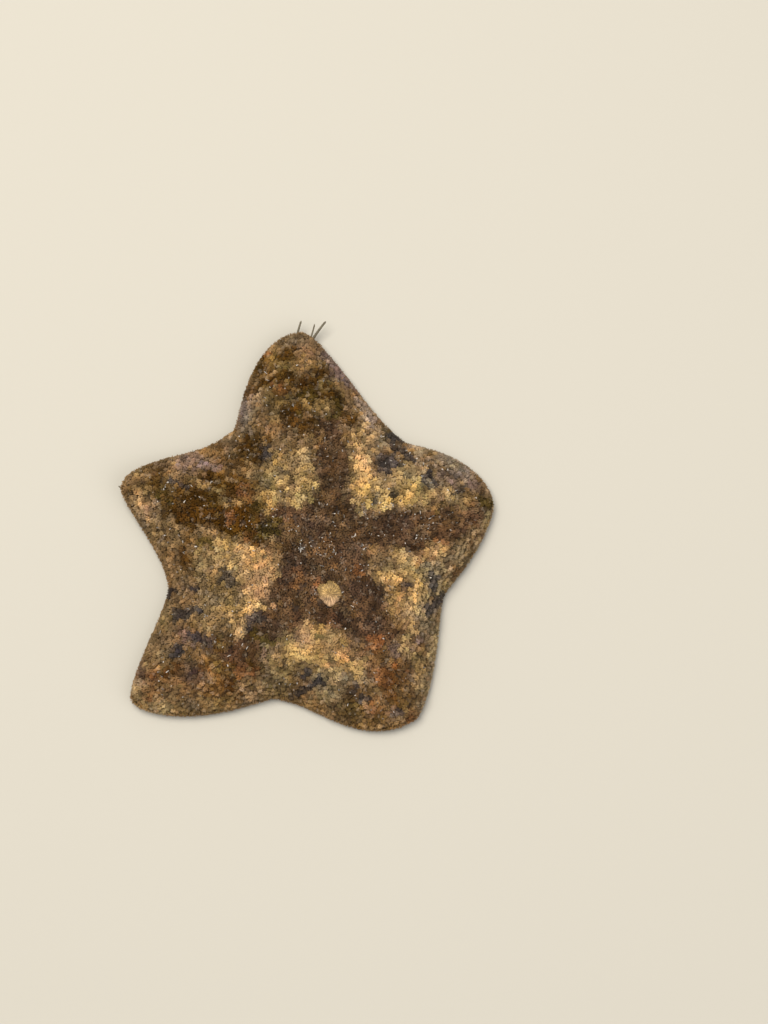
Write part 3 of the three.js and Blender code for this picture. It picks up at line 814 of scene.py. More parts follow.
def small_bodies(name, roots, axes, radii, heights, profile, colours,
                 sides=4, apex=1.0, bend=None, below=False, sink=0.0, seed=0):
    """Small turned bodies: root + axis * height * h + across * radius * r, for each (h, r) of the profile.

    A bend adds its vector times h squared. Bodies that sink start that much below their roots. A
    single colour is given to all of them.
    """
    count, rings = len(roots), len(profile)
    first, second = side_vectors(axes, np.random.default_rng(seed).random(count) * 2.0 * np.pi)
    angle = np.arange(sides) * 2.0 * np.pi / sides
    cosine, sine = np.cos(angle), np.sin(angle)
    around = first[:, None, :] * cosine[:, None] + second[:, None, :] * sine[:, None]
    h, r = np.array(profile).T
    levels = np.append(h, apex)
    start = roots - axes * sink
    spine = start[:, None, :] + axes[:, None, :] * (heights[:, None] * levels)[..., None]
    if bend is not None:
        spine = spine + bend[:, None, :] * (levels * levels)[None, :, None]
    ring = spine[:, :-1, None, :] + around[:, None, :, :] * (radii[:, None] * r)[:, :, None, None]
    points = np.concatenate([ring.reshape(count, -1, 3), spine[:, -1:, :]], axis=1)
    points[..., 2] = np.maximum(points[..., 2], 0.0)  # what reaches the floor is pressed flat on it
    tip = rings * sides
    cap = fan(tip - sides + np.arange(sides), tip)
    base = np.arange(sides)[::-1][None, :]
    faces = repeated([grid_faces(rings, sides, wrap=True), cap, base], count, tip + 1)
    # how far up each body a point is: the material paints shade onto the roots by it
    rise = np.append(np.repeat(np.clip((h - h[0]) / (apex - h[0]), 0.0, 1.0), sides), 1.0)
    colours = np.broadcast_to(colours, (count, 3))
    pigment = with_alpha(np.repeat(colours[:, None, :], tip + 1, axis=1), rise)
    star = np.stack([np.append(np.tile(cosine, rings), 0.0), np.append(np.tile(sine, rings), 0.0)], axis=-1)
    middle = skin_map(roots[:, 0], roots[:, 1], below)
    uv = middle[:, None, :] + star[None] * (UV_PATCH * (1.0 - rise))[None, :, None]
    return put_mesh(name, points.reshape(-1, 3), faces, pigment.reshape(-1, 4), uv.reshape(-1, 2))


print("width of one body's patch on the map:", 2.0 * UV_PATCH)

# %% [markdown]
# ## The plates of the back
# On each arm the plates stand in rows along its axis, staggered like bricks, and the rows of two
# neighbouring arms meet in chevrons along the web. They are largest on the disc and shrink towards
# the rim and the tips. So the places are worked out arm by arm on a staggered grid whose steps
# shrink outwards, and only those in the arm's own sector are kept. Then each place is pushed away
# from neighbours that stand too near, and a gap is left for the madreporite.

# %% Rows of plates
PLATE_PITCH = 0.88
ROW_GAP = 0.88  # from row to row, in pitches
SHRINK_ALONG = 0.0055  # a way of k steps is short by k times this share
SHRINK_ASIDE = 0.011  # and a way over j rows by j times this one
ROW_WANDER = 0.2  # in pitches
MOST_ROWS, MOST_STEPS = 22, 60
WEB_GAP = 0.08  # the least distance from the line between two arms, in plates
MIDDLE_GAP = 0.2  # the least distance along the axis, in pitches


def rows_on_arm(arm, pitch, rng):
    """Staggered rows: aside = gap j (1 - shrink j) and along = pitch k (1 - shrink k).

    Odd rows are half a step on. Only places between the two webs beside the arm are kept.
    """
    j, k = np.meshgrid(np.arange(-MOST_ROWS, MOST_ROWS + 1), np.arange(-1, MOST_STEPS), indexing="ij")
    j, k = j.ravel().astype(float), k.ravel() + 0.5 * (np.abs(j.ravel()) % 2)
    aside = pitch * ROW_GAP * j * (1.0 - SHRINK_ASIDE * np.abs(j))
    along = pitch * k * (1.0 - SHRINK_ALONG * np.abs(k))
    size = pitch * (1.0 - 2.0 * SHRINK_ASIDE * np.abs(j)) ** 0.5
    size = size * (1.0 - 2.0 * SHRINK_ALONG * np.abs(k)) ** 0.5
    along = along + rng.normal(0.0, ROW_WANDER, len(j)) * pitch
    aside = aside + rng.normal(0.0, ROW_WANDER, len(j)) * pitch
    x, y = off_axis(along, aside, arm)
    bearing = np.degrees(np.arctan2(y, x))
    low, high = turn(WEB["bearing"][(arm - 1) % ARMS] - bearing), turn(WEB["bearing"][arm] - bearing)
    to_web = np.minimum(np.minimum(np.abs(low), np.abs(high)), 90.0)  # past 90 the web's line lies behind
    from_web = np.hypot(x, y) * np.sin(np.radians(to_web))
    inside = (low < 0.0) & (high > 0.0) & (along > MIDDLE_GAP * pitch)
    keep = inside & (from_web > WEB_GAP * size)
    return x[keep], y[keep], size[keep]


print("places drawn for one arm:", (2 * MOST_ROWS + 1) * (MOST_STEPS + 1))

# %% Settling
SETTLING_ROUNDS = 5
PLATE_ROOM = 0.9  # the room between two plates, in plates
PLATE_EDGE, EDGE_SLACK = 0.985, 0.005  # share of the way out, and how far a push may go over it


def settled(x, y, size):
    """Each place is pushed from its neighbours by half of what their distance lacks to the room they need."""
    for _ in range(SETTLING_ROUNDS):
        across, up = x[:, None] - x[None, :], y[:, None] - y[None, :]
        gone = np.hypot(across, up) + np.eye(len(x))
        room = PLATE_ROOM * (size[:, None] + size[None, :]) / 2.0
        lack = np.maximum(0.0, room - gone) * (1.0 - np.eye(len(x)))
        x = x + 0.5 * (across / gone * lack).sum(axis=1)
        y = y + 0.5 * (up / gone * lack).sum(axis=1)
    return x, y


def paved(pitch, rng, edge):
    """The rows of all five arms, settled against each other across the webs: places, sizes and arms."""
    found = [rows_on_arm(arm, pitch, rng) for arm in range(ARMS)]
    arm = np.concatenate([np.full(len(places[0]), number) for number, places in enumerate(found)])
    x, y, size = (np.concatenate(values) for values in zip(*found))
    keep = out_at(x, y) < edge
    x, y, size, arm = x[keep], y[keep], size[keep], arm[keep]
    x, y = settled(x, y, size)
    keep = out_at(x, y) < edge + EDGE_SLACK
    return x[keep], y[keep], size[keep], arm[keep]


print("rounds of settling:", SETTLING_ROUNDS)

# %% The plates
MADREPORITE = {"x": 2.2, "y": -6.5, "half_width": 1.5, "half_length": 1.65, "thickness": 1.0, "proud": 0.3}
PLATE_GAP = 0.12  # from a plate's middle to the madreporite
PLATE_RADIUS = 0.47  # in plate sizes, so that neighbours overlap a little
PLATE_DOME = 0.26
PLATE_PROFILE = [(-1.2, 1.0), (0.1, 1.0), (0.75, 0.72)]  # height and radius, in domes and radii
PLATE_SCATTER = 0.3  # how much the single plates stray from the markings
PLATE_SHADE = 0.22  # and in lightness, as a power of e
PLATE_PAINTED_SHADE = 0.6  # the plates lie in the shade of their spinelets


def away_from_madreporite(x, y, gap):
    """True where a place lies outside the button's edge by the gap."""
    return np.hypot(x - MADREPORITE["x"], y - MADREPORITE["y"]) > MADREPORITE["half_width"] + gap


plate_rng = np.random.default_rng(21)
plate_x, plate_y, plate_size, plate_arm = paved(PLATE_PITCH, plate_rng, PLATE_EDGE)
clear = away_from_madreporite(plate_x, plate_y, PLATE_GAP)
plate_x, plate_y = plate_x[clear], plate_y[clear]
plate_size, plate_arm = plate_size[clear], plate_arm[clear]
plate_place, plate_up = on_surface(back_height, plate_x, plate_y)
plate_radius = PLATE_RADIUS * plate_size
plate_shade = np.exp(PLATE_SHADE * plate_rng.standard_normal(len(plate_x)).clip(-2.0, 2.0))[:, None]
plate_colour = markings(plate_x, plate_y, PLATE_SCATTER * plate_rng.standard_normal(len(plate_x)))
plate_colour = plate_colour * drift(plate_x, plate_y, plate_rng)
# painted shade: the plates' colour is darkened for the shade that their spinelets throw
plates = small_bodies(
    "back_plates", plate_place, plate_up, plate_radius, np.full(len(plate_x), PLATE_DOME),
    PLATE_PROFILE, plate_colour * plate_shade * PLATE_PAINTED_SHADE, sides=7, seed=23)
print("plates on the back:", len(plate_x))

# %% [markdown]
# ## The spinelets of the back
# Each plate carries one spinelet in the middle and two rings of them, splayed a little outwards
# like the bristles of a worn brush. They are blunt and grainy, not sharp, so the profile swells
# towards a rounded top. Here and there a few neighbours are pale, partly from bleaching and partly
# as painted glints, which makes the pale sparkle on the dark bands. A tuft takes most of its colour
# from its plate, so that it reads as one flake.

# %% Tufts
TUFT_RINGS = [(1, 0.0, 0.0), (5, 0.48, 0.3), (6, 0.88, 0.7)]  # how many, how far out, phase
TUFT_TURN = 6.28  # radians, over which the tufts are turned at random
TUFT_JITTER = 0.1  # how far a spinelet stands from its place in the ring, in plate radii
DOME_FALL = 0.8  # how far the dome has fallen at its edge, as a share of its height
COMBING = [(0.7, 2.4, 5)]  # radians by which the lie of the coat swings, size in mm, lattice layer


def tuft_offsets(rings):
    """Places in a round tuft of radius one: rings of evenly spaced points about its middle."""
    return np.array([
        [far * np.cos(phase + n * 2.0 * np.pi / count), far * np.sin(phase + n * 2.0 * np.pi / count)]
        for count, far, phase in rings for n in range(count)])


def lie_of_coat(x, y, up):
    """The way a tuft leans along the surface: away from the disc centre, swung aside by noise."""
    heading = np.arctan2(y, x) + clouds(x, y, COMBING)
    flat = np.stack([np.cos(heading), np.sin(heading), np.zeros_like(x)], axis=-1)
    return unit(flat - up * (flat * up).sum(axis=-1, keepdims=True))


def tufted(places, ups, radii, rng, rings, dome, splay, wildness, lie=0.0):
    """Roots, axes and plate numbers of spinelets that stand in tufts on domed plates.

    An axis is the plate's normal, plus the lie of the coat, plus the splay outwards, plus chance.
    """
    spots = tuft_offsets(rings)
    count = len(places)
    first, second = side_vectors(ups, rng.random(count) * TUFT_TURN)
    spot = spots[None] + rng.normal(0.0, TUFT_JITTER, (count, len(spots), 2))
    far = np.linalg.norm(spot, axis=-1, keepdims=True)
    flat = first[:, None] * spot[..., :1] + second[:, None] * spot[..., 1:]
    root = places[:, None] + flat * radii[:, None, None] + ups[:, None] * dome * (1.0 - DOME_FALL * far**2)
    lean = lie * lie_of_coat(places[:, 0], places[:, 1], ups)
    axis = unit(ups[:, None] + lean[:, None] + flat * splay + rng.normal(0.0, wildness, root.shape))
    return root.reshape(-1, 3), axis.reshape(-1, 3), np.repeat(np.arange(count), len(spots))


print("spinelets in a tuft:", len(tuft_offsets(TUFT_RINGS)))

# %% Spinelets
SPINELET_PROFILE = [(0.0, 0.8), (0.45, 1.0), (0.82, 0.85)]
SPINELET_HEIGHT = 0.37
SPINELET_RADIUS = 0.168
HEIGHT_SPREAD, RADIUS_SPREAD = (0.85, 1.2), (0.75, 1.2)
SPINELET_SCATTER, SPINELET_SHADE = 0.2, 0.05
FROM_PLATE = 0.75  # share of a spinelet's colour that it has from its plate

spine_rng = np.random.default_rng(31)
spine_root, spine_axis, spine_plate = tufted(
    plate_place, plate_up, plate_radius, spine_rng, TUFT_RINGS, PLATE_DOME, splay=0.3, wildness=0.12, lie=0.4)
kept = away_from_madreporite(spine_root[:, 0], spine_root[:, 1], 0.0)
spine_root, spine_axis, spine_plate = spine_root[kept], spine_axis[kept], spine_plate[kept]
spine_count = len(spine_root)
spine_x, spine_y, _ = spine_root.T
spine_size = (plate_size / PLATE_PITCH)[spine_plate]
spine_radius = SPINELET_RADIUS * spine_size * spine_rng.uniform(*RADIUS_SPREAD, spine_count)
spine_height = SPINELET_HEIGHT * spine_size**0.5 * spine_rng.uniform(*HEIGHT_SPREAD, spine_count)
own_colour = markings(spine_x, spine_y, SPINELET_SCATTER * spine_rng.standard_normal(spine_count))
spine_colour = FROM_PLATE * plate_colour[spine_plate] + (1.0 - FROM_PLATE) * own_colour
spine_colour = spine_colour * plate_shade[spine_plate] * mottle(spine_x, spine_y)
# pale flecks: partly bleaching, partly painted glints
spine_colour = flecked_with_glints(spine_colour, spine_x, spine_y)
spine_colour = spine_colour * np.exp(SPINELET_SHADE * spine_rng.standard_normal(spine_count))[:, None]
spine_arm = plate_arm[spine_plate]
on_left = along_and_aside(plate_x[spine_plate], plate_y[spine_plate], spine_arm)[1] > 0.0
back_coat = []
for arm, arm_name in enumerate(ARM["name"]):
    for left, side_name in enumerate(("right", "left")):
        mine = (spine_arm == arm) & (on_left == bool(left))
        back_coat.append(small_bodies(
            f"spinelets_{arm_name}_{side_name}",
            spine_root[mine], spine_axis[mine], spine_radius[mine], spine_height[mine],
            SPINELET_PROFILE, capped(spine_colour[mine]), seed=40 + 2 * arm + left))
print("spinelets on the back:", spine_count)

# %% [markdown]
# ## Long spinelets
# Among the short ones stand a few that are longer and thinner, glassy, and bent over sideways.
# They are what makes the coat look combed in places. They take their colour from where they
# stand, only lighter: painted light, for the light that comes through them.

# %% Long spinelets
LONG_COUNT = 9000
LONG_PLACE = {"edge": 0.97, "gap": 0.25, "lift": 0.22}  # share of the way out, mm to the button, mm up
LONG_AXIS = {"up": 0.55, "lie": 0.35, "chance": 0.45}
LONG_BEND = 0.07
LONG_PROFILE = [(0.0, 1.0), (0.4, 1.0), (0.8, 0.7)]
LONG_RADIUS, LONG_LENGTH = (0.045, 0.07), (0.32, 0.52)
# painted light: the factors make the long spinelets lighter on the whole as well as at random, and the glow
# adds a little painted light to all
LONG_TONE_AND_LIGHT, LONG_PAINTED_GLOW = (0.9, 1.8), 0.008  # factors of lightness, and a little light added to all
FIELD_X, FIELD_Y = (-30.0, 26.0), (-28.0, 31.0)  # a box that is a little larger than the star


def strewn(rng, count):
    """Places drawn at random over the field."""
    return rng.uniform(*FIELD_X, count), rng.uniform(*FIELD_Y, count)


def long_spinelets():
    """Roots strewn over the back, with axes laid over: part normal, part lie of the coat, part chance."""
    rng = np.random.default_rng(81)
    x, y = strewn(rng, LONG_COUNT)
    keep = (out_at(x, y) < LONG_PLACE["edge"]) & away_from_madreporite(x, y, LONG_PLACE["gap"])
    x, y = x[keep], y[keep]
    place, up = on_surface(back_height, x, y)
    lie = LONG_AXIS["lie"] * lie_of_coat(x, y, up)
    axis = unit(LONG_AXIS["up"] * up + lie + rng.normal(0.0, LONG_AXIS["chance"], up.shape))
    colour = markings(x, y, SPINELET_SCATTER * rng.standard_normal(len(x))) * mottle(x, y)
    # painted light: lightened and given a painted glow for the light that comes through them
    colour = capped(colour * rng.uniform(*LONG_TONE_AND_LIGHT, (len(x), 1)) + LONG_PAINTED_GLOW)
    bend = rng.normal(0.0, LONG_BEND, up.shape)
    radius, length = rng.uniform(*LONG_RADIUS, len(x)), rng.uniform(*LONG_LENGTH, len(x))
    root = place + up * LONG_PLACE["lift"]
    return small_bodies(
        "long_spinelets", root, axis, radius, length, LONG_PROFILE, colour, bend=bend, seed=82)


long_coat = long_spinelets()

# %% [markdown]
# ## The gills
# Between the plates the star breathes through tiny finger-like gills, the papulae. They are thin
# clear sacs, pale of their own, and their pale colour also stands for painted glints: the white
# flecks where a wet animal catches the light, most of them on the dark middle of the disc and along
# the right arm. A ring of them marks the very centre. Candidates are strewn all over the back, and
# each is kept by the chance that its place gives it.

# %% Gills
GILL_CROWDS = [  # share of the candidates that are kept, and where: chains of dabs
    (0.015, [(0.0, 0.0, 40.0)]),
    (0.085, [(-2.0, 2.5, 2.0), (2.0, -1.0, 4.0), (8.0, 2.5, 3.5), (17.0, 4.0, 2.0)]),
    (0.045, [(2.3, 14.5, 1.6), (2.3, 6.0, 2.4)]),
    (0.060, [(7.0, -7.0, 1.5), (3.0, -10.0, 2.0)]),
    (0.050, [(9.0, 15.0, 1.5), (19.0, 10.0, 2.0)]),
    (0.050, [(-5.0, 24.5, 2.5), (-4.5, 16.5, 2.0)]),
    (0.045, [(4.5, 22.0, 2.0), (8.0, 16.5, 2.0)]),
    (0.035, [(-20.0, 8.5, 3.0), (-20.0, -14.0, 3.0), (-17.0, -20.0, 3.0)]),
]
GILL_CANDIDATES = 30000
GILL_FADE = 2.0  # the width over which a crowd thins out
GILL_CLUMPS = [(0.7, 1.5, 10)]  # strength, size in mm, lattice layer
GILL_PLACE = {"edge": 0.94, "gap": 0.3, "lift": 0.28}
GILL_STOUT = {"up": 0.85, "radius": 0.1, "length": 0.2}
GILL_SLENDER = {"up": -0.5, "radius": -0.06, "length": 0.35}  # what the most slender ones have more
GILL_CHANCE, GILL_BEND = 0.6, 0.1
GILL_DIM = 0.45  # the dimmest gill's brightness, before it is squared
GILL_RING = {"count": 11, "x": 2.2, "y": -1.0, "half_width": 0.55, "half_length": 0.6}
GILL_PROFILE = [(0.0, 0.9), (0.3, 1.0), (0.65, 1.0), (0.9, 0.7)]
# pale of their own, and painted glints as well
GILL_PALE_AND_GLINT = np.array([0.80, 0.71, 0.60])


def gill_places(rng):
    """Strewn candidates, kept by the share at their place times e to the power of noise, and the ring."""
    x, y = strewn(rng, GILL_CANDIDATES)
    shares = [share * smooth(chain_depth(x, y, dabs) / GILL_FADE + 0.5) for share, dabs in GILL_CROWDS]
    clumped = np.max(shares, axis=0) * np.exp(clouds(x, y, GILL_CLUMPS))
    inside = (out_at(x, y) < GILL_PLACE["edge"]) & away_from_madreporite(x, y, GILL_PLACE["gap"])
    keep = (rng.random(len(x)) < clumped) & inside
    turns = np.arange(GILL_RING["count"]) * 2.0 * np.pi / GILL_RING["count"]
    x = np.append(x[keep], GILL_RING["x"] + GILL_RING["half_width"] * np.cos(turns))
    y = np.append(y[keep], GILL_RING["y"] + GILL_RING["half_length"] * np.sin(turns))
    return x, y


def gills():
    """Fingers between the plates: the more slender ones are thinner, longer and lie more to the side."""
    rng = np.random.default_rng(71)
    x, y = gill_places(rng)
    place, up = on_surface(back_height, x, y)
    slender = rng.random(len(x))
    upright, radius, length = (GILL_STOUT[key] + GILL_SLENDER[key] * slender for key in GILL_STOUT)
    axis = unit(upright[:, None] * up + rng.normal(0.0, GILL_CHANCE, up.shape))
    bend = rng.normal(0.0, GILL_BEND, up.shape)
    # pale gills that are also painted glints
    colour = GILL_PALE_AND_GLINT * rng.uniform(GILL_DIM, 1.0, (len(x), 1)) ** 2
    root = place + up * GILL_PLACE["lift"]
    return small_bodies(
        "gills", root, axis, radius, length, GILL_PROFILE, colour, sides=7, bend=bend, seed=72)


gill_fingers = gills()

# %% [markdown]
# ## The fringe of the rim
# Two rows of marginal plates edge the star, each with a fan of longer spinelets that point
# outwards. They make the rim look finely fringed, and they reach out to the full outline.

# %% Rim fringe
RIM_PITCH = 0.72
FAN = 8
FAN_WIDTH = 0.42  # half the width of a fan's foot, in pitches
FRINGE_PROFILE = [(0.0, 0.9), (0.5, 1.0), (0.85, 0.65)]
FRINGE_RADIUS, FRINGE_SPREAD = (0.06, 0.085), (0.7, 1.15)
FRINGE_STRAY = {"aside": 0.12, "up": 0.06, "axis": 0.2, "shade": 0.25}
FRINGE_TONE = 1.05
FAN_SPLAY = 0.55
FAN_SINK, FAN_BOW = 0.1, 0.05  # how deep the foot stands in the skin, and how much deeper at its ends
RIM_GRAIN = 0.05  # degrees from point to point of the rim's curve
RIM_PROBE = 0.1  # the step along the rim that gives its direction


def rim_places(pitch):
    """Places round the rim at even steps of its own length, with the outward direction at each."""
    angle = np.radians(np.arange(0.0, 360.0, RIM_GRAIN))
    reach = reach_at(np.degrees(angle)) - COAT
    x, y = reach * np.cos(angle), reach * np.sin(angle)
    gone = np.concatenate([[0.0], np.cumsum(np.hypot(np.diff(x), np.diff(y)))])
    count = int(gone[-1] / pitch)
    wanted = (np.arange(count) + 0.5) * gone[-1] / count
    ahead = wanted + RIM_PROBE
    here_x, here_y = np.interp(wanted, gone, x), np.interp(wanted, gone, y)
    step_x, step_y = np.interp(ahead, gone, x) - here_x, np.interp(ahead, gone, y) - here_y
    return here_x, here_y, unit(np.stack([step_y, -step_x, np.zeros_like(step_x)], axis=-1))


def rim_fringe(name, height, tilt, length, seed):
    """A row of fans round the rim: each spinelet's axis is outward, turned aside by its place in the fan."""
    rng = np.random.default_rng(seed)
    x, y, outward = rim_places(RIM_PITCH)
    count = len(x)
    along = np.cross(PLUMB, outward)
    place = np.linspace(-1.0, 1.0, FAN)[None, :, None]
    place = place + rng.normal(0.0, FRINGE_STRAY["aside"], (count, FAN, 1))
    base = np.stack([x, y, RIM_HEIGHT + height + lift_at(x, y)], axis=-1)[:, None]
    base = base + rng.normal(0.0, FRINGE_STRAY["up"], (count, FAN, 1)) * PLUMB
    sunk = outward[:, None] * (FAN_SINK + FAN_BOW * place**2)
    root = base + along[:, None] * place * FAN_WIDTH * RIM_PITCH - sunk
    wild = rng.normal(0.0, FRINGE_STRAY["axis"], root.shape)
    axis = unit(outward[:, None] + along[:, None] * place * FAN_SPLAY + tilt * PLUMB + wild)
    root, axis = root.reshape(-1, 3), axis.reshape(-1, 3)
    lengths = length * rng.uniform(*FRINGE_SPREAD, len(root))
    shade = np.exp(FRINGE_STRAY["shade"] * rng.standard_normal((count, FAN, 1)))
    colour = FRINGE_TONE * markings(x, y)[:, None] * shade
    return small_bodies(
        name, root, axis, rng.uniform(*FRINGE_RADIUS, len(root)), lengths, FRINGE_PROFILE,
        capped(colour.reshape(-1, 3)), below=height < 0.0, seed=seed)


fringe_above = rim_fringe("fringe_above", height=0.16, tilt=0.4, length=0.5, seed=51)
fringe_below = rim_fringe("fringe_below", height=-0.05, tilt=-0.35, length=0.52, seed=52)

# %% [markdown]
# ## The steep side above the rim
# Seen from above the side is a narrow band, so the rows of plates, which are spaced on the plan,
# leave it bare. It gets rows of its own instead, each at one height above the rim. The back's
# formula is turned round for this: from a height it gives the share of the way out.

# %% Rows on the side
SIDE_HEIGHTS = [0.1, 0.3, 0.52, 0.76, 1.02, 1.3, 1.6]  # above the rim
SIDE_PITCH = 0.25
SIDE_LOWEST = 0.02
SIDE_STRAY = {"up": 0.05, "out": 0.002, "axis": 0.28, "colour": 0.3}
SIDE_LEAN = 0.4
SIDE_RADIUS, SIDE_LENGTH = (0.09, 0.13), (0.25, 0.42)


def side_places(rng):
    """Places on the side: out = (1 - (height / crown's height)^(1 / fall))^(1 / fullness)."""
    rows = []
    for height in SIDE_HEIGHTS:
        x, y, _ = rim_places(SIDE_PITCH)
        arm, web, _, share = flank_of(x, y)
        height = height + rng.normal(0.0, SIDE_STRAY["up"], len(x))
        steep = (np.maximum(height, SIDE_LOWEST) / (CROWN_HEIGHT - COAT - RIM_HEIGHT)) ** (1.0 / RIM_FALL)
        out = (1.0 - steep) ** (1.0 / fullness_at(arm, web, share))
        slip = 1.0 + rng.normal(0.0, SIDE_STRAY["out"], len(x))
        rows.append(np.stack([x * out * slip, y * out * slip], axis=-1))
    return np.concatenate(rows).T


def side_spinelets():
    """Spinelets on the side: the axis is the normal, leaning outwards, plus chance."""
    rng = np.random.default_rng(91)
    x, y = side_places(rng)
    place, up = on_surface(back_height, x, y)
    outward = np.stack([x, y, np.zeros_like(x)], axis=-1) / np.hypot(x, y)[:, None]
    axis = unit(up + SIDE_LEAN * outward + rng.normal(0.0, SIDE_STRAY["axis"], up.shape))
    colour = markings(x, y, SIDE_STRAY["colour"] * rng.standard_normal(len(x))) * mottle(x, y)
    colour = capped(colour * drift(x, y, rng))
    radius, length = rng.uniform(*SIDE_RADIUS, len(x)), rng.uniform(*SIDE_LENGTH, len(x))
    return small_bodies("spinelets_side", place, axis, radius, length, SPINELET_PROFILE, colour, seed=92)


side_coat = side_spinelets()

# %% [markdown]
# ## The underside
# Below, five grooves run out from the mouth, each with two rows of tube feet. Between them lie
# small plates, each with a short comb of spines that point down, and along each groove stands a
# hedge of furrow spines that can close over it. These are paler than the back, and sparser. The
# longest spines are cut short where they would pass through the floor.

# %% Spines of the underside
UNDER_PITCH, UNDER_EDGE = 1.12, 0.965
UNDER_CLEAR = {"groove": 0.75, "mouth": 0.9}
UNDER_TUFT = [(4, 0.6, 0.0)]  # how many, how far out, phase
UNDER_TUFT_RADIUS, UNDER_DOME = 0.42, 0.02  # in plates, and in mm
UNDER_RADIUS, UNDER_LENGTH, UNDER_SINK = (0.075, 0.1), (0.26, 0.46), 0.08
UNDER_PROFILE = [(0.0, 0.95), (0.5, 1.0), (0.85, 0.7)]
BELLY_MARKS = 1.1  # the tone of the back's markings where they reach below
BELLY_SHADES = [(0.06, 2.4, 7)]  # strength, size in mm, lattice layer
BELLY_SHADE = 0.18
FLOOR_ROOM = {"gap": 0.03, "flattest": 0.05, "shortest": 0.08}
under_rng = np.random.default_rng(61)


def under_plates():
    """The pavement of the underside, kept clear of the grooves, the mouth and the rim."""
    x, y, size, arm = paved(UNDER_PITCH, under_rng, UNDER_EDGE)
    along, aside = along_and_aside(x, y, arm)
    clear_of_groove = np.abs(aside) > groove_half_width(along, arm) + UNDER_CLEAR["groove"]
    keep = clear_of_groove & (np.hypot(x, y) > MOUTH["radius"] + UNDER_CLEAR["mouth"])
    return x[keep], y[keep], size[keep]


def belly_colour(x, y, rng):
    """Cream in the middle, tinted by the back's markings towards the rim."""
    colour = laid_over(markings(x, y) * BELLY_MARKS, "cream", belly_share(out_at(x, y)))
    shade = np.exp(clouds(x, y, BELLY_SHADES) + BELLY_SHADE * rng.standard_normal(len(x)))
    return capped(colour * shade[:, None])


def spines_to_floor(root, axis, wanted):
    """The wanted lengths, cut short where a spine would pass through the floor."""
    room = (root[:, 2] - FLOOR_ROOM["gap"]) / np.maximum(-axis[:, 2], FLOOR_ROOM["flattest"])
    return np.minimum(wanted, np.maximum(room, FLOOR_ROOM["shortest"]))


under_x, under_y, under_size = under_plates()
under_place, under_up = on_surface(under_height, under_x, under_y)
under_root, under_axis, _ = tufted(
    under_place, -under_up, UNDER_TUFT_RADIUS * under_size, under_rng, UNDER_TUFT, UNDER_DOME,
    splay=0.5, wildness=0.16)
under_length = spines_to_floor(under_root, under_axis, under_rng.uniform(*UNDER_LENGTH, len(under_root)))
under_spines = small_bodies(
    "underside_spines", under_root, under_axis,
    under_rng.uniform(*UNDER_RADIUS, len(under_root)), under_length + UNDER_SINK, UNDER_PROFILE,
    belly_colour(under_root[:, 0], under_root[:, 1], under_rng), below=True, sink=UNDER_SINK, seed=62)

# %% Furrow spines
FURROW_PITCH = 0.6
FURROW_START, FURROW_END = 3.4, 0.965  # mm from the middle, and share of the arm's length
FURROW_ROWS = ((0.08, -0.75), (0.42, 0.25))  # distance from the groove's edge, and lean away from it
FURROW_COMB = 3  # spines in a comb
FURROW_LIFT = 0.12
FURROW_STRAY = {"aside": 0.03, "axis": 0.1, "fan": 0.3}
FURROW_RADIUS, FURROW_LENGTH = (0.07, 0.09), (0.45, 0.6)
FURROW_PROFILE = [(0.0, 0.9), (0.6, 1.0), (0.88, 0.7)]


def axis_vectors(arm):
    """The directions along an arm and to the left of it."""
    angle = np.radians(ARM["bearing"][arm])
    return np.array([np.cos(angle), np.sin(angle), 0.0]), np.array([-np.sin(angle), np.cos(angle), 0.0])


def furrow_comb(arm, side, out, lean):
    """One row along one lip of a groove: roots beside its edge, axes down, aside by the lean, and fanned."""
    along = np.arange(FURROW_START, ARM["length"][arm] * FURROW_END, FURROW_PITCH / FURROW_COMB)
    stray = under_rng.normal(0.0, FURROW_STRAY["aside"], len(along))
    x, y = off_axis(along, side * (groove_half_width(along, arm) + out + stray), arm)
    root = np.stack([x, y, UNDER_COAT + FURROW_LIFT + lift_at(x, y)], axis=-1)
    ahead, left = axis_vectors(arm)
    in_comb = (np.arange(len(along)) % FURROW_COMB - 1.0)[:, None]
    wild = under_rng.normal(0.0, FURROW_STRAY["axis"], root.shape)
    return root, unit(-PLUMB + side * lean * left + ahead * in_comb * FURROW_STRAY["fan"] + wild)


furrow_parts = [
    furrow_comb(arm, side, out, lean)
    for arm in range(ARMS) for side in (-1.0, 1.0) for out, lean in FURROW_ROWS]
furrow_root, furrow_axis = (np.concatenate(part) for part in zip(*furrow_parts))
furrow = small_bodies(
    "furrow_spines", furrow_root, furrow_axis, under_rng.uniform(*FURROW_RADIUS, len(furrow_root)),
    spines_to_floor(furrow_root, furrow_axis, under_rng.uniform(*FURROW_LENGTH, len(furrow_root))),
    FURROW_PROFILE, belly_colour(furrow_root[:, 0], furrow_root[:, 1], under_rng), below=True, seed=63)

# %% [markdown]
# ## Tube feet
# A tube foot is a soft water-filled stalk with a sucker. It hangs from the roof of the groove, is
# a little wrinkled like a bellows, and spreads into a flat disc where it grips the floor.

# %% Tube feet
FOOT_PROFILE = [
    (0.0, 1.0), (0.14, 0.86), (0.28, 1.0), (0.42, 0.84), (0.56, 0.96), (0.7, 0.8), (0.84, 0.9),
    (0.9, 1.35), (0.96, 1.5), (1.0, 1.32),  # these three are the sucker
]
FOOT_START, FOOT_END = 3.6, 0.93  # mm from the middle, and share of the arm's length
FOOT_ASIDE, FOOT_ROOF = 0.46, 0.86  # shares of the groove's half width and of its height
FOOT_STRAY = {"aside": 0.04, "axis": 0.12}
FOOT_RADIUS = 0.235
FOOT_THINNING = 0.7  # power by which the feet get thinner with the groove
FOOT_COLOUR = (0.70, 0.58, 0.38)
FOOT_TONE = (0.85, 1.1)
FLOOR_GAP, TIP_LIFT = 0.01, 0.8  # mm over the floor, and how much of the tip's curl the feet share


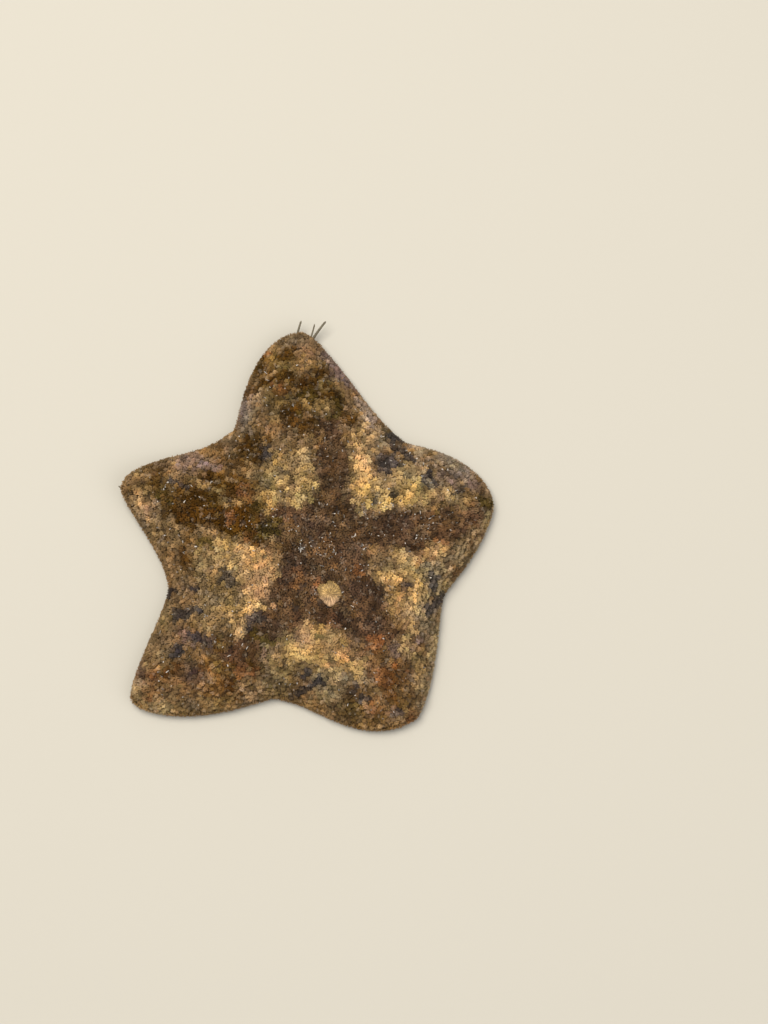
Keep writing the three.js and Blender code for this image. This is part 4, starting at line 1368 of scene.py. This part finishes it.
def foot_row(arm, side):
    """One row of feet under an arm, from the roof of the groove; the left row starts half a step on.

    The feet shrink with the groove: their size is its width as a share of that at the mouth.
    """
    start = FOOT_START + (side + 1.0) * FOOT_PITCH / 4.0
    along = np.arange(start, ARM["length"][arm] * FOOT_END, FOOT_PITCH)
    half = groove_half_width(along, arm)
    aside = side * half * (FOOT_ASIDE + under_rng.normal(0.0, FOOT_STRAY["aside"], len(along)))
    x, y = off_axis(along, aside, arm)
    root = np.stack([x, y, half * GROOVE["arch"] * FOOT_ROOF + lift_at(x, y)], axis=-1)
    axis = unit(under_rng.normal(0.0, FOOT_STRAY["axis"], root.shape) - PLUMB)
    return root, axis, half / (GROOVE["width_at_mouth"] / 2.0)


foot_rows = [foot_row(arm, side) for arm in range(ARMS) for side in (-1.0, 1.0)]
foot_root, foot_axis, foot_size = (np.concatenate(part) for part in zip(*foot_rows))
foot_lift = lift_at(foot_root[:, 0], foot_root[:, 1]) * TIP_LIFT
foot_length = foot_root[:, 2] / -foot_axis[:, 2] - FLOOR_GAP - foot_lift
foot_colour = np.ones((len(foot_root), 3)) * FOOT_COLOUR * under_rng.uniform(*FOOT_TONE, (len(foot_root), 1))
feet = small_bodies(
    "tube_feet", foot_root, foot_axis, FOOT_RADIUS * foot_size**FOOT_THINNING, foot_length, FOOT_PROFILE,
    foot_colour, sides=9, apex=0.97, below=True, seed=64)

# %% [markdown]
# ## Feelers
# The foremost tube feet of an arm have no sucker. They are feelers, and the star stretches them
# out from under the tip to smell its way. Here three reach out of the top arm, and the tips of
# two show at the left arm. Each is a thin ringed body bent along a parabola.

# %% Feelers
FEELERS = [  # arm, behind the tip, aside, lean to the left in degrees, length, radius, bend
    (1, 2.3, 1.1, -17.0, 3.95, 0.2, (0.2, 0.0, 0.15)),
    (1, 2.0, -1.0, -36.0, 4.05, 0.22, (0.3, -0.15, 0.2)),
    (1, 2.3, -0.8, -25.0, 3.5, 0.15, (-0.2, 0.0, 0.1)),
    (2, 1.6, 0.2, 8.0, 1.75, 0.16, (0.0, 0.3, 0.1)),
    (2, 1.7, -0.2, -20.0, 1.7, 0.14, (0.0, -0.3, 0.1)),
]
FEELER_HEIGHT = 0.62
FEELER_RISE, FEELER_CURL = 0.1, 0.125  # how steeply they rise, and how much more for each mm of curl
FEELER_RINGS, FEELER_TAPER, FEELER_WRINKLE = 22, 0.35, 0.1
FEELER_COLOUR = (0.15, 0.125, 0.08)


def feeler_root_and_axis(arm, back, aside, lean):
    """The root behind the arm's tip, and the axis turned from the arm's by the lean and raised a little."""
    x, y = off_axis(ARM["length"][arm] - back, aside, arm)
    heading = np.radians(ARM["bearing"][arm] + lean)
    root = [x, y, FEELER_HEIGHT + float(lift_at(np.array([x]), np.array([y]))[0])]
    return root, [np.cos(heading), np.sin(heading), FEELER_RISE + FEELER_CURL * ARM["curl"][arm]]


feeler_places = [feeler_root_and_axis(*feeler[:4]) for feeler in FEELERS]
feeler_root, feeler_axis = (np.array(part) for part in zip(*feeler_places))
feeler_length, feeler_radius, feeler_bend = (np.array([feeler[n] for feeler in FEELERS]) for n in (4, 5, 6))
feeler_profile = [
    (n / FEELER_RINGS, (1.0 - FEELER_TAPER * n / FEELER_RINGS) * (1.0 + FEELER_WRINKLE * (-1) ** n))
    for n in range(FEELER_RINGS)]
feelers = small_bodies(
    "feelers", feeler_root, unit(feeler_axis), feeler_radius, feeler_length, feeler_profile,
    FEELER_COLOUR, sides=12, bend=feeler_bend, below=True, seed=65)

# %% [markdown]
# ## The mouth
# The mouth is a hole in a soft ring of membrane, and five jaws point into it from the webs. Each
# jaw is a wedge of fused plates with a few blunt spines at its point. The wedge is a loft: a
# rounded-square section that widens as it is carried from its point outwards.

# %% Jaws
JAW = {"inner": 1.0, "outer": 2.3, "inner_width": 0.6, "outer_width": 1.7, "low": 0.15, "high": 1.6}
JAW_RINGS, JAW_AROUND = 12, 20
JAW_SQUARE = 0.6  # power of the section: 1 is round and 0 is square
JAW_END, JAW_THINNEST = 6, 0.02  # power of the rounding at both ends, and where it stops
JAW_COLOUR = (0.58, 0.46, 0.30)


def jaw_rings(bearing):
    """Rounded-square sections, the power of cosine and sine, carried from the jaw's point outwards."""
    way = np.linspace(0.0, 1.0, JAW_RINGS)[:, None]
    round_off = np.sqrt(np.clip(1.0 - (2.0 * way - 1.0) ** JAW_END, JAW_THINNEST, 1.0))
    angle = np.arange(JAW_AROUND)[None, :] * 2.0 * np.pi / JAW_AROUND
    across = np.sign(np.cos(angle)) * np.abs(np.cos(angle)) ** JAW_SQUARE
    up = np.sign(np.sin(angle)) * np.abs(np.sin(angle)) ** JAW_SQUARE
    width = (JAW["inner_width"] + (JAW["outer_width"] - JAW["inner_width"]) * way) * round_off
    height = (JAW["high"] - JAW["low"]) * round_off
    aside = across * width / 2.0
    along = np.broadcast_to(JAW["inner"] + (JAW["outer"] - JAW["inner"]) * way, aside.shape)
    z = (JAW["high"] + JAW["low"]) / 2.0 + up * height / 2.0
    c, s = np.cos(np.radians(bearing)), np.sin(np.radians(bearing))
    return np.stack([along * c - aside * s, along * s + aside * c, z], axis=-1)


def jaw_plate(number, bearing):
    """A closed body from the rings: their walls, and a fan to the middle of each end ring."""
    rings = jaw_rings(bearing)
    points = np.concatenate([rings.reshape(-1, 3), rings[:1].mean(axis=1), rings[-1:].mean(axis=1)])
    pigment = even_pigment(len(points), JAW_COLOUR)
    return put_mesh(f"jaw_plate_{number}", points, closed_faces(JAW_RINGS, JAW_AROUND), pigment)


to_next_arm = np.mod(np.roll(ARM["bearing"], -1) - ARM["bearing"], 360.0)
jaw_bearing = ARM["bearing"] + to_next_arm / 2.0
jaws = [jaw_plate(number + 1, bearing) for number, bearing in enumerate(jaw_bearing)]

# %% Mouth ring
RING_AROUND, RING_SECTION = 120, 20
RING = {"reach": 0.48, "half_width": 0.22, "height": 1.32, "half_height": 0.26}
WRINKLES, WRINKLE_ACROSS, WRINKLE_UP = 20.0, 0.1, 0.03
RING_COLOUR = (0.62, 0.44, 0.28)


def mouth_ring():
    """A wrinkled ring: the section is an ellipse, and its width and height swing round the mouth."""
    around = np.linspace(0.0, 2.0 * np.pi, RING_AROUND, endpoint=False)[:, None]
    section = np.linspace(0.0, 2.0 * np.pi, RING_SECTION, endpoint=False)[None, :]
    swing = np.cos(WRINKLES * around)
    reach = RING["reach"] + RING["half_width"] * np.cos(section) * (1.0 + WRINKLE_ACROSS * swing)
    z = RING["height"] - RING["half_height"] * np.sin(section) + WRINKLE_UP * swing
    points = np.stack([reach * np.cos(around), reach * np.sin(around), z], axis=-1).reshape(-1, 3)
    seam = np.arange(RING_SECTION)
    after = np.roll(seam, -1)
    last = (RING_AROUND - 1) * RING_SECTION
    close = np.stack([last + seam, last + after, after, seam], axis=-1)
    quads = grid_faces(RING_AROUND, RING_SECTION, wrap=True)
    return put_mesh("mouth_ring", points, [quads, close], even_pigment(len(points), RING_COLOUR))


membrane = mouth_ring()

# %% Mouth spines
ORAL_SPOTS = [  # along the jaw, aside, and how the spine leans: ahead and aside
    (1.1, -0.22, -0.5, -0.25), (1.1, 0.22, -0.5, 0.25), (1.3, -0.38, -0.2, -0.45), (1.3, 0.38, -0.2, 0.45),
    (1.75, -0.3, 0.15, -0.2), (1.75, 0.3, 0.15, 0.2),
]
ORAL_HEIGHT, ORAL_RADIUS, ORAL_LENGTH = 0.62, 0.11, 0.6
ORAL_PROFILE = [(0.0, 0.9), (0.4, 1.0), (0.75, 0.9), (0.94, 0.6)]
ORAL_COLOUR = (0.62, 0.50, 0.33)


def mouth_spines():
    """Six blunt spines on each jaw, four round its point and two on its face."""
    roots, axes = [], []
    for bearing in np.radians(jaw_bearing):
        heading = np.array([np.cos(bearing), np.sin(bearing), 0.0])
        left = np.array([-np.sin(bearing), np.cos(bearing), 0.0])
        roots += [heading * along + left * aside + ORAL_HEIGHT * PLUMB for along, aside, _, _ in ORAL_SPOTS]
        axes += [heading * ahead + left * sideways - PLUMB for _, _, ahead, sideways in ORAL_SPOTS]
    root, axis = np.array(roots), unit(np.array(axes))
    length = spines_to_floor(root, axis, np.full(len(root), ORAL_LENGTH))
    radius = np.full(len(root), ORAL_RADIUS)
    return small_bodies(
        "mouth_spines", root, axis, radius, length, ORAL_PROFILE, ORAL_COLOUR, sides=8, below=True, seed=66)


oral_spines = mouth_spines()

# %% [markdown]
# ## The madreporite
# The madreporite is the sieve plate through which the star takes in water: a pale button off the
# middle of the back, with fine furrows that wander outwards and fork. We turn a disc and press
# the furrows in as a wave round the disc, whose count doubles on the way out and whose phase is
# pushed about by noise. Its outline wobbles a little, because no two of them are round.

# %% Seat of the madreporite
SIEVE_RINGS, SIEVE_AROUND = 44, 180
SIEVE_WANDER = [(0.5, 0.3, 8), (0.22, 0.14, 9)]  # strength, size in button radii, lattice layer
SIEVE_SWING = 3.4  # radians by which the noise pushes the furrows
SIEVE_FURROWS = 9.0  # round the middle, and twice as many past each fork
SIEVE_FORKS = ((0.3, 0.1), (0.62, 0.1))  # where the furrows fork, and over what width
SIEVE_DEPTH = 0.06
SIEVE_CUT = {"from": -0.25, "over": 0.9}  # where in the wave a furrow's wall begins, and its width
SIEVE_FADE = {"middle": 0.12, "rim": 0.05}  # shares of the way out without furrows
SIEVE_LOBES = ((0.05, 3.0, 1.0), (0.035, 5.0, 0.0))  # strength, count and phase of the outline's swings
SIEVE_WOBBLE = [(0.05, 0.3, 7)]
SIEVE_CROWN, SIEVE_FALL, SIEVE_EDGE = 0.09, 0.75, 0.12
SIEVE_BEND = {"from": 0.9, "over": 0.1}  # where the dome turns down to its edge
SIEVE_TONES = [(0.15, 0.7, 10), (0.2, 0.3, 11)]
SIEVE_BROWN, SIEVE_PINK = np.array([0.42, 0.26, 0.09]), np.array([0.50, 0.31, 0.165])
PINK_FADE = {"over": 1.6, "middle": 0.2}  # mm, and how much of the pink there is at the middle


def madreporite_seat():
    """The middle of the button and its three directions, from the slope of the solid back under it."""
    x, y = np.array([MADREPORITE["x"]]), np.array([MADREPORITE["y"]])
    far, bearing = float(np.hypot(x, y)[0]), float(np.arctan2(y, x)[0])
    edge = MADREPORITE["half_length"]
    inner = float(back_height(x * (far - edge) / far, y * (far - edge) / far, 0.0)[0])
    outer = float(back_height(x * (far + edge) / far, y * (far + edge) / far, 0.0)[0])
    tilt = np.arctan2(inner - outer, 2.0 * edge)
    heading = np.array([np.cos(bearing) * np.cos(tilt), np.sin(bearing) * np.cos(tilt), -np.sin(tilt)])
    left = np.array([-np.sin(bearing), np.cos(bearing), 0.0])
    return np.array([x[0], y[0], (inner + outer) / 2.0]), heading, left, np.cross(heading, left)


print("seat of the madreporite, mm:", [round(float(v), 2) for v in madreporite_seat()[0]])

# %% Sieve plate


def ridge_height(out, angle):
    """A wave of n angle + noise, with n doubling at each fork, fading at the middle and at the rim."""
    push = SIEVE_SWING * clouds(out * np.cos(angle), out * np.sin(angle), SIEVE_WANDER)
    wave = np.cos(SIEVE_FURROWS * angle + push)
    count = SIEVE_FURROWS
    for place, width in SIEVE_FORKS:
        count = 2.0 * count
        share = smooth((out - place) / width)
        wave = wave * (1.0 - share) + np.cos(count * angle + push) * share
    ridge = SIEVE_DEPTH * smooth((wave - SIEVE_CUT["from"]) / SIEVE_CUT["over"])
    return ridge * smooth(out / SIEVE_FADE["middle"]) * smooth((1.0 - out) / SIEVE_FADE["rim"])


def sieve_top(out, angle):
    """Heights and the outline's wobble at a share of the way out and an angle, in the button's frame."""
    wobble = 1.0
    for strength, count, phase in SIEVE_LOBES:
        wobble = wobble + strength * np.cos(count * angle + phase)
    wobble = wobble + clouds(np.cos(angle), np.sin(angle), SIEVE_WOBBLE) * out**2
    dome = MADREPORITE["proud"] * (1.0 - SIEVE_FALL * out**4) - SIEVE_DEPTH
    rim_round = SIEVE_EDGE * smooth((out - SIEVE_BEND["from"]) / SIEVE_BEND["over"])
    return dome + SIEVE_CROWN * (1.0 - out**2) + ridge_height(out, angle) - rim_round, wobble


def sieve_plate():
    """A domed disc with furrows: rings on the dome, one more at the foot of the skirt, and both poles."""
    middle, heading, left, up = madreporite_seat()
    out = np.linspace(0.0, 1.0, SIEVE_RINGS)[1:, None]
    angle = np.arange(SIEVE_AROUND)[None, :] * 2.0 * np.pi / SIEVE_AROUND
    height, wobble = sieve_top(out, angle)
    ahead = out * np.cos(angle) * wobble * MADREPORITE["half_length"]
    aside = out * np.sin(angle) * wobble * MADREPORITE["half_width"]
    top = middle + heading * ahead[..., None] + left * aside[..., None] + up * height[..., None]
    skirt = top[-1:] - up * MADREPORITE["thickness"]
    crown = middle + up * (MADREPORITE["proud"] + SIEVE_CROWN - SIEVE_DEPTH)
    points = np.concatenate([top.reshape(-1, 3), skirt.reshape(-1, 3), [crown], [skirt[0].mean(axis=0)]])
    # painted shade: the ridge's share goes to the fourth channel, so the material darkens the furrows
    ridge_share = (ridge_height(out, angle) / SIEVE_DEPTH).ravel()
    rise = np.concatenate([ridge_share, np.zeros(SIEVE_AROUND), [0.5, 0.0]])
    tone = np.exp(clouds(points[:, 0], points[:, 1], SIEVE_TONES))[:, None]
    pink = smooth((MADREPORITE["y"] - points[:, 1]) / PINK_FADE["over"] + PINK_FADE["middle"])[:, None]
    colour = (SIEVE_BROWN * (1.0 - pink) + SIEVE_PINK * pink) * tone
    faces = closed_faces(SIEVE_RINGS, SIEVE_AROUND, flip=True)
    return put_mesh("sieve_plate", points, faces, with_alpha(colour, rise))


sieve = sieve_plate()

# %% [markdown]
# ## The eyespots
# At the very tip of each arm, under the edge, sits a cushion of red pigment cups, the star's eye.
# It is a small ball with a berry's bumps.

# %% Eyespots
EYESPOT = {"radius": 0.38, "from_tip": 0.95, "height": 0.85}
EYE_ROWS, EYE_COLUMNS = 22, 32
EYE_BUMPS, EYE_BUMP = 5.0, 0.08  # waves each way, and their height in radii
EYE_POLE = 0.95  # height of the poles in radii
EYE_COLOUR = (0.36, 0.06, 0.02)


def eyespot_cushions():
    """Five balls, each radius swelled by a pattern of small domes over its two angles."""
    polar = np.linspace(0.0, np.pi, EYE_ROWS + 2)[1:-1, None]
    angle = np.arange(EYE_COLUMNS)[None, :] * 2.0 * np.pi / EYE_COLUMNS
    bumps = 1.0 - EYE_BUMP + EYE_BUMP * np.abs(np.cos(EYE_BUMPS * angle) * np.cos(EYE_BUMPS * polar))
    x, y = np.sin(polar) * np.cos(angle), np.sin(polar) * np.sin(angle)
    z = np.broadcast_to(np.cos(polar), x.shape)
    ball = (np.stack([x, y, z], axis=-1) * bumps[..., None]).reshape(-1, 3)
    ball = np.concatenate([ball, [EYE_POLE * PLUMB], [-EYE_POLE * PLUMB]]) * EYESPOT["radius"]
    eye_x, eye_y = off_axis(ARM["length"] - EYESPOT["from_tip"], 0.0, np.arange(ARMS))
    middles = np.stack([eye_x, eye_y, EYESPOT["height"] + lift_at(eye_x, eye_y)], axis=-1)
    points = (middles[:, None] + ball[None]).reshape(-1, 3)
    faces = repeated(closed_faces(EYE_ROWS, EYE_COLUMNS, flip=True), ARMS, len(ball))
    return put_mesh("eyespot_cushions", points, faces, even_pigment(len(points), EYE_COLOUR))


eyespots = eyespot_cushions()

# %% [markdown]
# ## Materials
# All of the animal is wet, but the fine coat looks matt, because light is lost between the
# spinelets. So the coat has a low gloss, and the gills, the feet and the mouth have a thin clear
# film. The colour comes from the pigment attribute. Its fourth channel is the height within a
# spinelet, by which the material paints shade onto the roots, where light can't reach. Noise in
# Object coordinates adds the mottling that is finer than one spinelet.

# %% The material
GRAIN_FROM, GRAIN_TO = 0.3, 0.7  # the middle part of the noise's range, which is stretched to the whole
COAT_ROUGHNESS = 0.12
BUMP_DEPTH = 0.1  # mm
LIGHT_DEPTH = 0.3  # mm that light goes into soft tissue


def object_noise(material, size, detail):
    """A noise in Object coordinates with cells of a size in mm: the socket of its factor."""
    nodes, links = material.node_tree.nodes, material.node_tree.links
    place = nodes.new("ShaderNodeTexCoord")
    texture = nodes.new("ShaderNodeTexNoise")
    texture.inputs["Scale"].default_value = 1.0 / (size * MM)
    texture.inputs["Detail"].default_value = detail
    links.new(place.outputs["Object"], texture.inputs["Vector"])
    return texture.outputs["Fac"]


def mapped(material, value, from_min, from_max, to_min, to_max):
    """A value brought from one range to another: the socket of the result."""
    node = material.node_tree.nodes.new("ShaderNodeMapRange")
    node.inputs["From Min"].default_value = from_min
    node.inputs["From Max"].default_value = from_max
    node.inputs["To Min"].default_value = to_min
    node.inputs["To Max"].default_value = to_max
    material.node_tree.links.new(value, node.inputs["Value"])
    return node.outputs["Result"]


def wet_material(name, roughness, painted_root_shade, grain, grain_size, bump=0.0, bump_size=0.1,
                 coat=0.0, gloss=0.4, ior=1.33, soft=0.0):
    """Principled material: pigment times a painted root-to-tip shade times mottling noise, with bump and a
    coat.
    """
    material = bpy.data.materials.new(name)
    material.use_nodes = True
    nodes, links = material.node_tree.nodes, material.node_tree.links
    shader = nodes["Principled BSDF"]
    pigment = nodes.new("ShaderNodeAttribute")
    pigment.attribute_name = "pigment"
    speckle = object_noise(material, grain_size, detail=3.0)
    grained = mapped(material, speckle, GRAIN_FROM, GRAIN_TO, 1.0 - grain, 1.0 + grain)
    # painted shade: darker towards the roots of each body, by the fourth channel
    rise = mapped(material, pigment.outputs["Alpha"], 0.0, 1.0, painted_root_shade, 1.0)
    both = nodes.new("ShaderNodeMath")
    both.operation = "MULTIPLY"
    links.new(grained, both.inputs[0])
    links.new(rise, both.inputs[1])
    shade = nodes.new("ShaderNodeVectorMath")
    shade.operation = "SCALE"
    links.new(pigment.outputs["Color"], shade.inputs[0])
    links.new(both.outputs["Value"], shade.inputs["Scale"])
    links.new(shade.outputs["Vector"], shader.inputs["Base Color"])
    shader.inputs["Roughness"].default_value = roughness
    shader.inputs["IOR"].default_value = ior
    shader.inputs["Specular IOR Level"].default_value = gloss
    shader.inputs["Coat Weight"].default_value = coat
    shader.inputs["Coat Roughness"].default_value = COAT_ROUGHNESS
    shader.inputs["Subsurface Weight"].default_value = soft
    shader.inputs["Subsurface Scale"].default_value = LIGHT_DEPTH * MM
    if bump:
        relief = nodes.new("ShaderNodeBump")
        relief.inputs["Strength"].default_value = bump
        relief.inputs["Distance"].default_value = BUMP_DEPTH * MM
        links.new(object_noise(material, bump_size, detail=4.0), relief.inputs["Height"])
        links.new(relief.outputs["Normal"], shader.inputs["Normal"])
    return material


# %% The finishes
skin_finish = wet_material(
    "wet_skin", roughness=0.6, painted_root_shade=1.0, grain=0.2, grain_size=0.25, bump=0.5, bump_size=0.12)
plate_finish = wet_material("plate", roughness=0.6, painted_root_shade=0.6, grain=0.2, grain_size=0.2, bump=0.4)
spinelet_finish = wet_material(
    "spinelet", roughness=0.5, painted_root_shade=0.7, grain=0.06, grain_size=0.12, gloss=0.2, ior=1.18)
gill_finish = wet_material(
    "gill", roughness=0.25, painted_root_shade=0.7, grain=0.1, grain_size=0.12, coat=0.6, gloss=0.5, ior=1.45)
belly_finish = wet_material(
    "belly_spine", roughness=0.5, painted_root_shade=0.6, grain=0.12, grain_size=0.15, coat=0.1)
foot_finish = wet_material(
    "tube_foot", roughness=0.35, painted_root_shade=0.9, grain=0.12, grain_size=0.2, coat=0.4, soft=0.3)
feeler_finish = wet_material(
    "feeler", roughness=0.45, painted_root_shade=0.8, grain=0.25, grain_size=0.3, bump=0.3, coat=0.2, gloss=0.3)
bone_finish = wet_material(
    "jaw_bone", roughness=0.6, painted_root_shade=0.9, grain=0.2, grain_size=0.2, bump=0.5, bump_size=0.12, coat=0.1)
sieve_finish = wet_material(
    "sieve", roughness=0.6, painted_root_shade=0.55, grain=0.15, grain_size=0.15, bump=0.4, coat=0.08)
membrane_finish = wet_material(
    "mouth_membrane", roughness=0.35, painted_root_shade=0.9, grain=0.15, grain_size=0.25, bump=0.4, bump_size=0.15,
    coat=0.4, soft=0.2)
eye_finish = wet_material(
    "eye_pigment", roughness=0.3, painted_root_shade=0.9, grain=0.25, grain_size=0.1, bump=0.2, bump_size=0.08,
    coat=0.5, gloss=0.5)
print("finishes:", [material.name for material in bpy.data.materials])

# %% [markdown]
# ## What each piece stands for
# Every piece gets its material and rides on the one body there is. The pieces that take the place
# of a solid name that solid, and the solid is then left out of the picture.

# %% Pieces and solids


def finish_piece(obj, material, slot, *nodes):
    """Gives a piece its material, lets it stand for its solids and ride on the body. The slot is not used."""
    obj.data.materials.append(material)
    if nodes:
        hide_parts(*nodes)
    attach(obj, "root")


finish_piece(skin, skin_finish, "skin", "disc", *[f"arm_{name}" for name in ARM["name"]])
finish_piece(plates, plate_finish, "skin")
for piece in [*back_coat, side_coat, long_coat, fringe_above, fringe_below]:
    finish_piece(piece, spinelet_finish, "skin")
for piece in (under_spines, furrow):
    finish_piece(piece, belly_finish, "skin")
finish_piece(gill_fingers, gill_finish, "skin")
finish_piece(feet, foot_finish, "skin")
finish_piece(feelers, feeler_finish, "skin")
for number, jaw in enumerate(jaws):
    finish_piece(jaw, bone_finish, "jaw_plate", f"jaw_{number + 1}")
finish_piece(oral_spines, belly_finish, "jaw_plate")
finish_piece(membrane, membrane_finish, "membrane", "mouth_membrane")
finish_piece(sieve, sieve_finish, "sieve_plate", "madreporite")
finish_piece(eyespots, eye_finish, "eyespot", *[f"eyespot_{name}" for name in ARM["name"]])
print("pieces of the coat on the back:", len(back_coat))

# %% [markdown]
# ## The floor, the light and the camera
# The star lies on a plain pale floor under one broad soft light from the upper left, a weaker one
# from the right and an even sky, so that every spinelet throws a short soft shadow and the colours
# stay true. The camera looks almost straight down.

# %% Floor
HALF_FLOOR, FLOOR_LEVEL = 0.6, -0.00002  # metres; a hair below the star, so that the two never flicker
FLOOR_COLOUR, FLOOR_ROUGHNESS = (0.52, 0.48, 0.40, 1.0), 0.85

floor_mesh = bpy.data.meshes.new("floor")
corner_signs = [(-1, -1), (1, -1), (1, 1), (-1, 1)]
floor_corners = [(x * HALF_FLOOR, y * HALF_FLOOR, FLOOR_LEVEL) for x, y in corner_signs]
floor_mesh.from_pydata(floor_corners, [], [(0, 1, 2, 3)])
floor = bpy.data.objects.new("floor", floor_mesh)
bpy.context.scene.collection.objects.link(floor)
floor_material = bpy.data.materials.new("pale_floor")
floor_material.use_nodes = True
floor_shader = floor_material.node_tree.nodes["Principled BSDF"]
floor_shader.inputs["Base Color"].default_value = FLOOR_COLOUR
floor_shader.inputs["Roughness"].default_value = FLOOR_ROUGHNESS
floor_mesh.materials.append(floor_material)
print("floor, m:", 2.0 * HALF_FLOOR, "square")

# %% Lights
SKY_COLOUR, SKY_STRENGTH = (0.95, 0.97, 1.0, 1.0), 0.45


def area_light(name, place, size, power, colour):
    """A square soft light at a place in metres, aimed at the star."""
    data = bpy.data.lights.new(name, "AREA")
    data.size, data.energy, data.color = size, power, colour
    light = bpy.data.objects.new(name, data)
    light.location = place
    light.rotation_euler = (-Vector(place)).to_track_quat("-Z", "Y").to_euler()
    bpy.context.scene.collection.objects.link(light)


area_light("key", place=(-0.14, 0.17, 0.58), size=0.38, power=4.3, colour=(1.0, 0.98, 0.94))
area_light("fill", place=(0.35, -0.20, 0.40), size=0.5, power=1.0, colour=(0.96, 0.97, 1.0))
sky = bpy.data.worlds.new("studio")
sky.use_nodes = True
sky.node_tree.nodes["Background"].inputs["Color"].default_value = SKY_COLOUR
sky.node_tree.nodes["Background"].inputs["Strength"].default_value = SKY_STRENGTH
bpy.context.scene.world = sky
bpy.context.scene.view_settings.view_transform = "Standard"
print("lights:", [light.name for light in bpy.data.lights])

# %% Camera
IMAGE_HEIGHT, FOCAL_PIXELS = 1024, 2218.0  # the focal length in pixels of the picture's height
SENSOR = 36.0  # mm
NEAREST, FARTHEST = 0.01, 10.0  # metres, between which things are seen
ELEVATION = np.radians(84.0)
LOOK_AT = Vector((10.43 * MM, 1.81 * MM, 0.0))
DISTANCE = 304.3 * MM

camera_data = bpy.data.cameras.new("camera")
camera_data.sensor_width = SENSOR
camera_data.lens = SENSOR * FOCAL_PIXELS / IMAGE_HEIGHT
camera_data.clip_start, camera_data.clip_end = NEAREST, FARTHEST
camera = bpy.data.objects.new("camera", camera_data)
backwards = Vector((0.0, -np.cos(ELEVATION), np.sin(ELEVATION)))
camera.location = LOOK_AT + backwards * DISTANCE
camera.rotation_euler = (-backwards).to_track_quat("-Z", "Y").to_euler()
bpy.context.scene.collection.objects.link(camera)
bpy.context.scene.camera = camera
print("lens, mm:", round(camera_data.lens, 1))

# %% Bringing the scene up to date
bpy.context.view_layer.update()
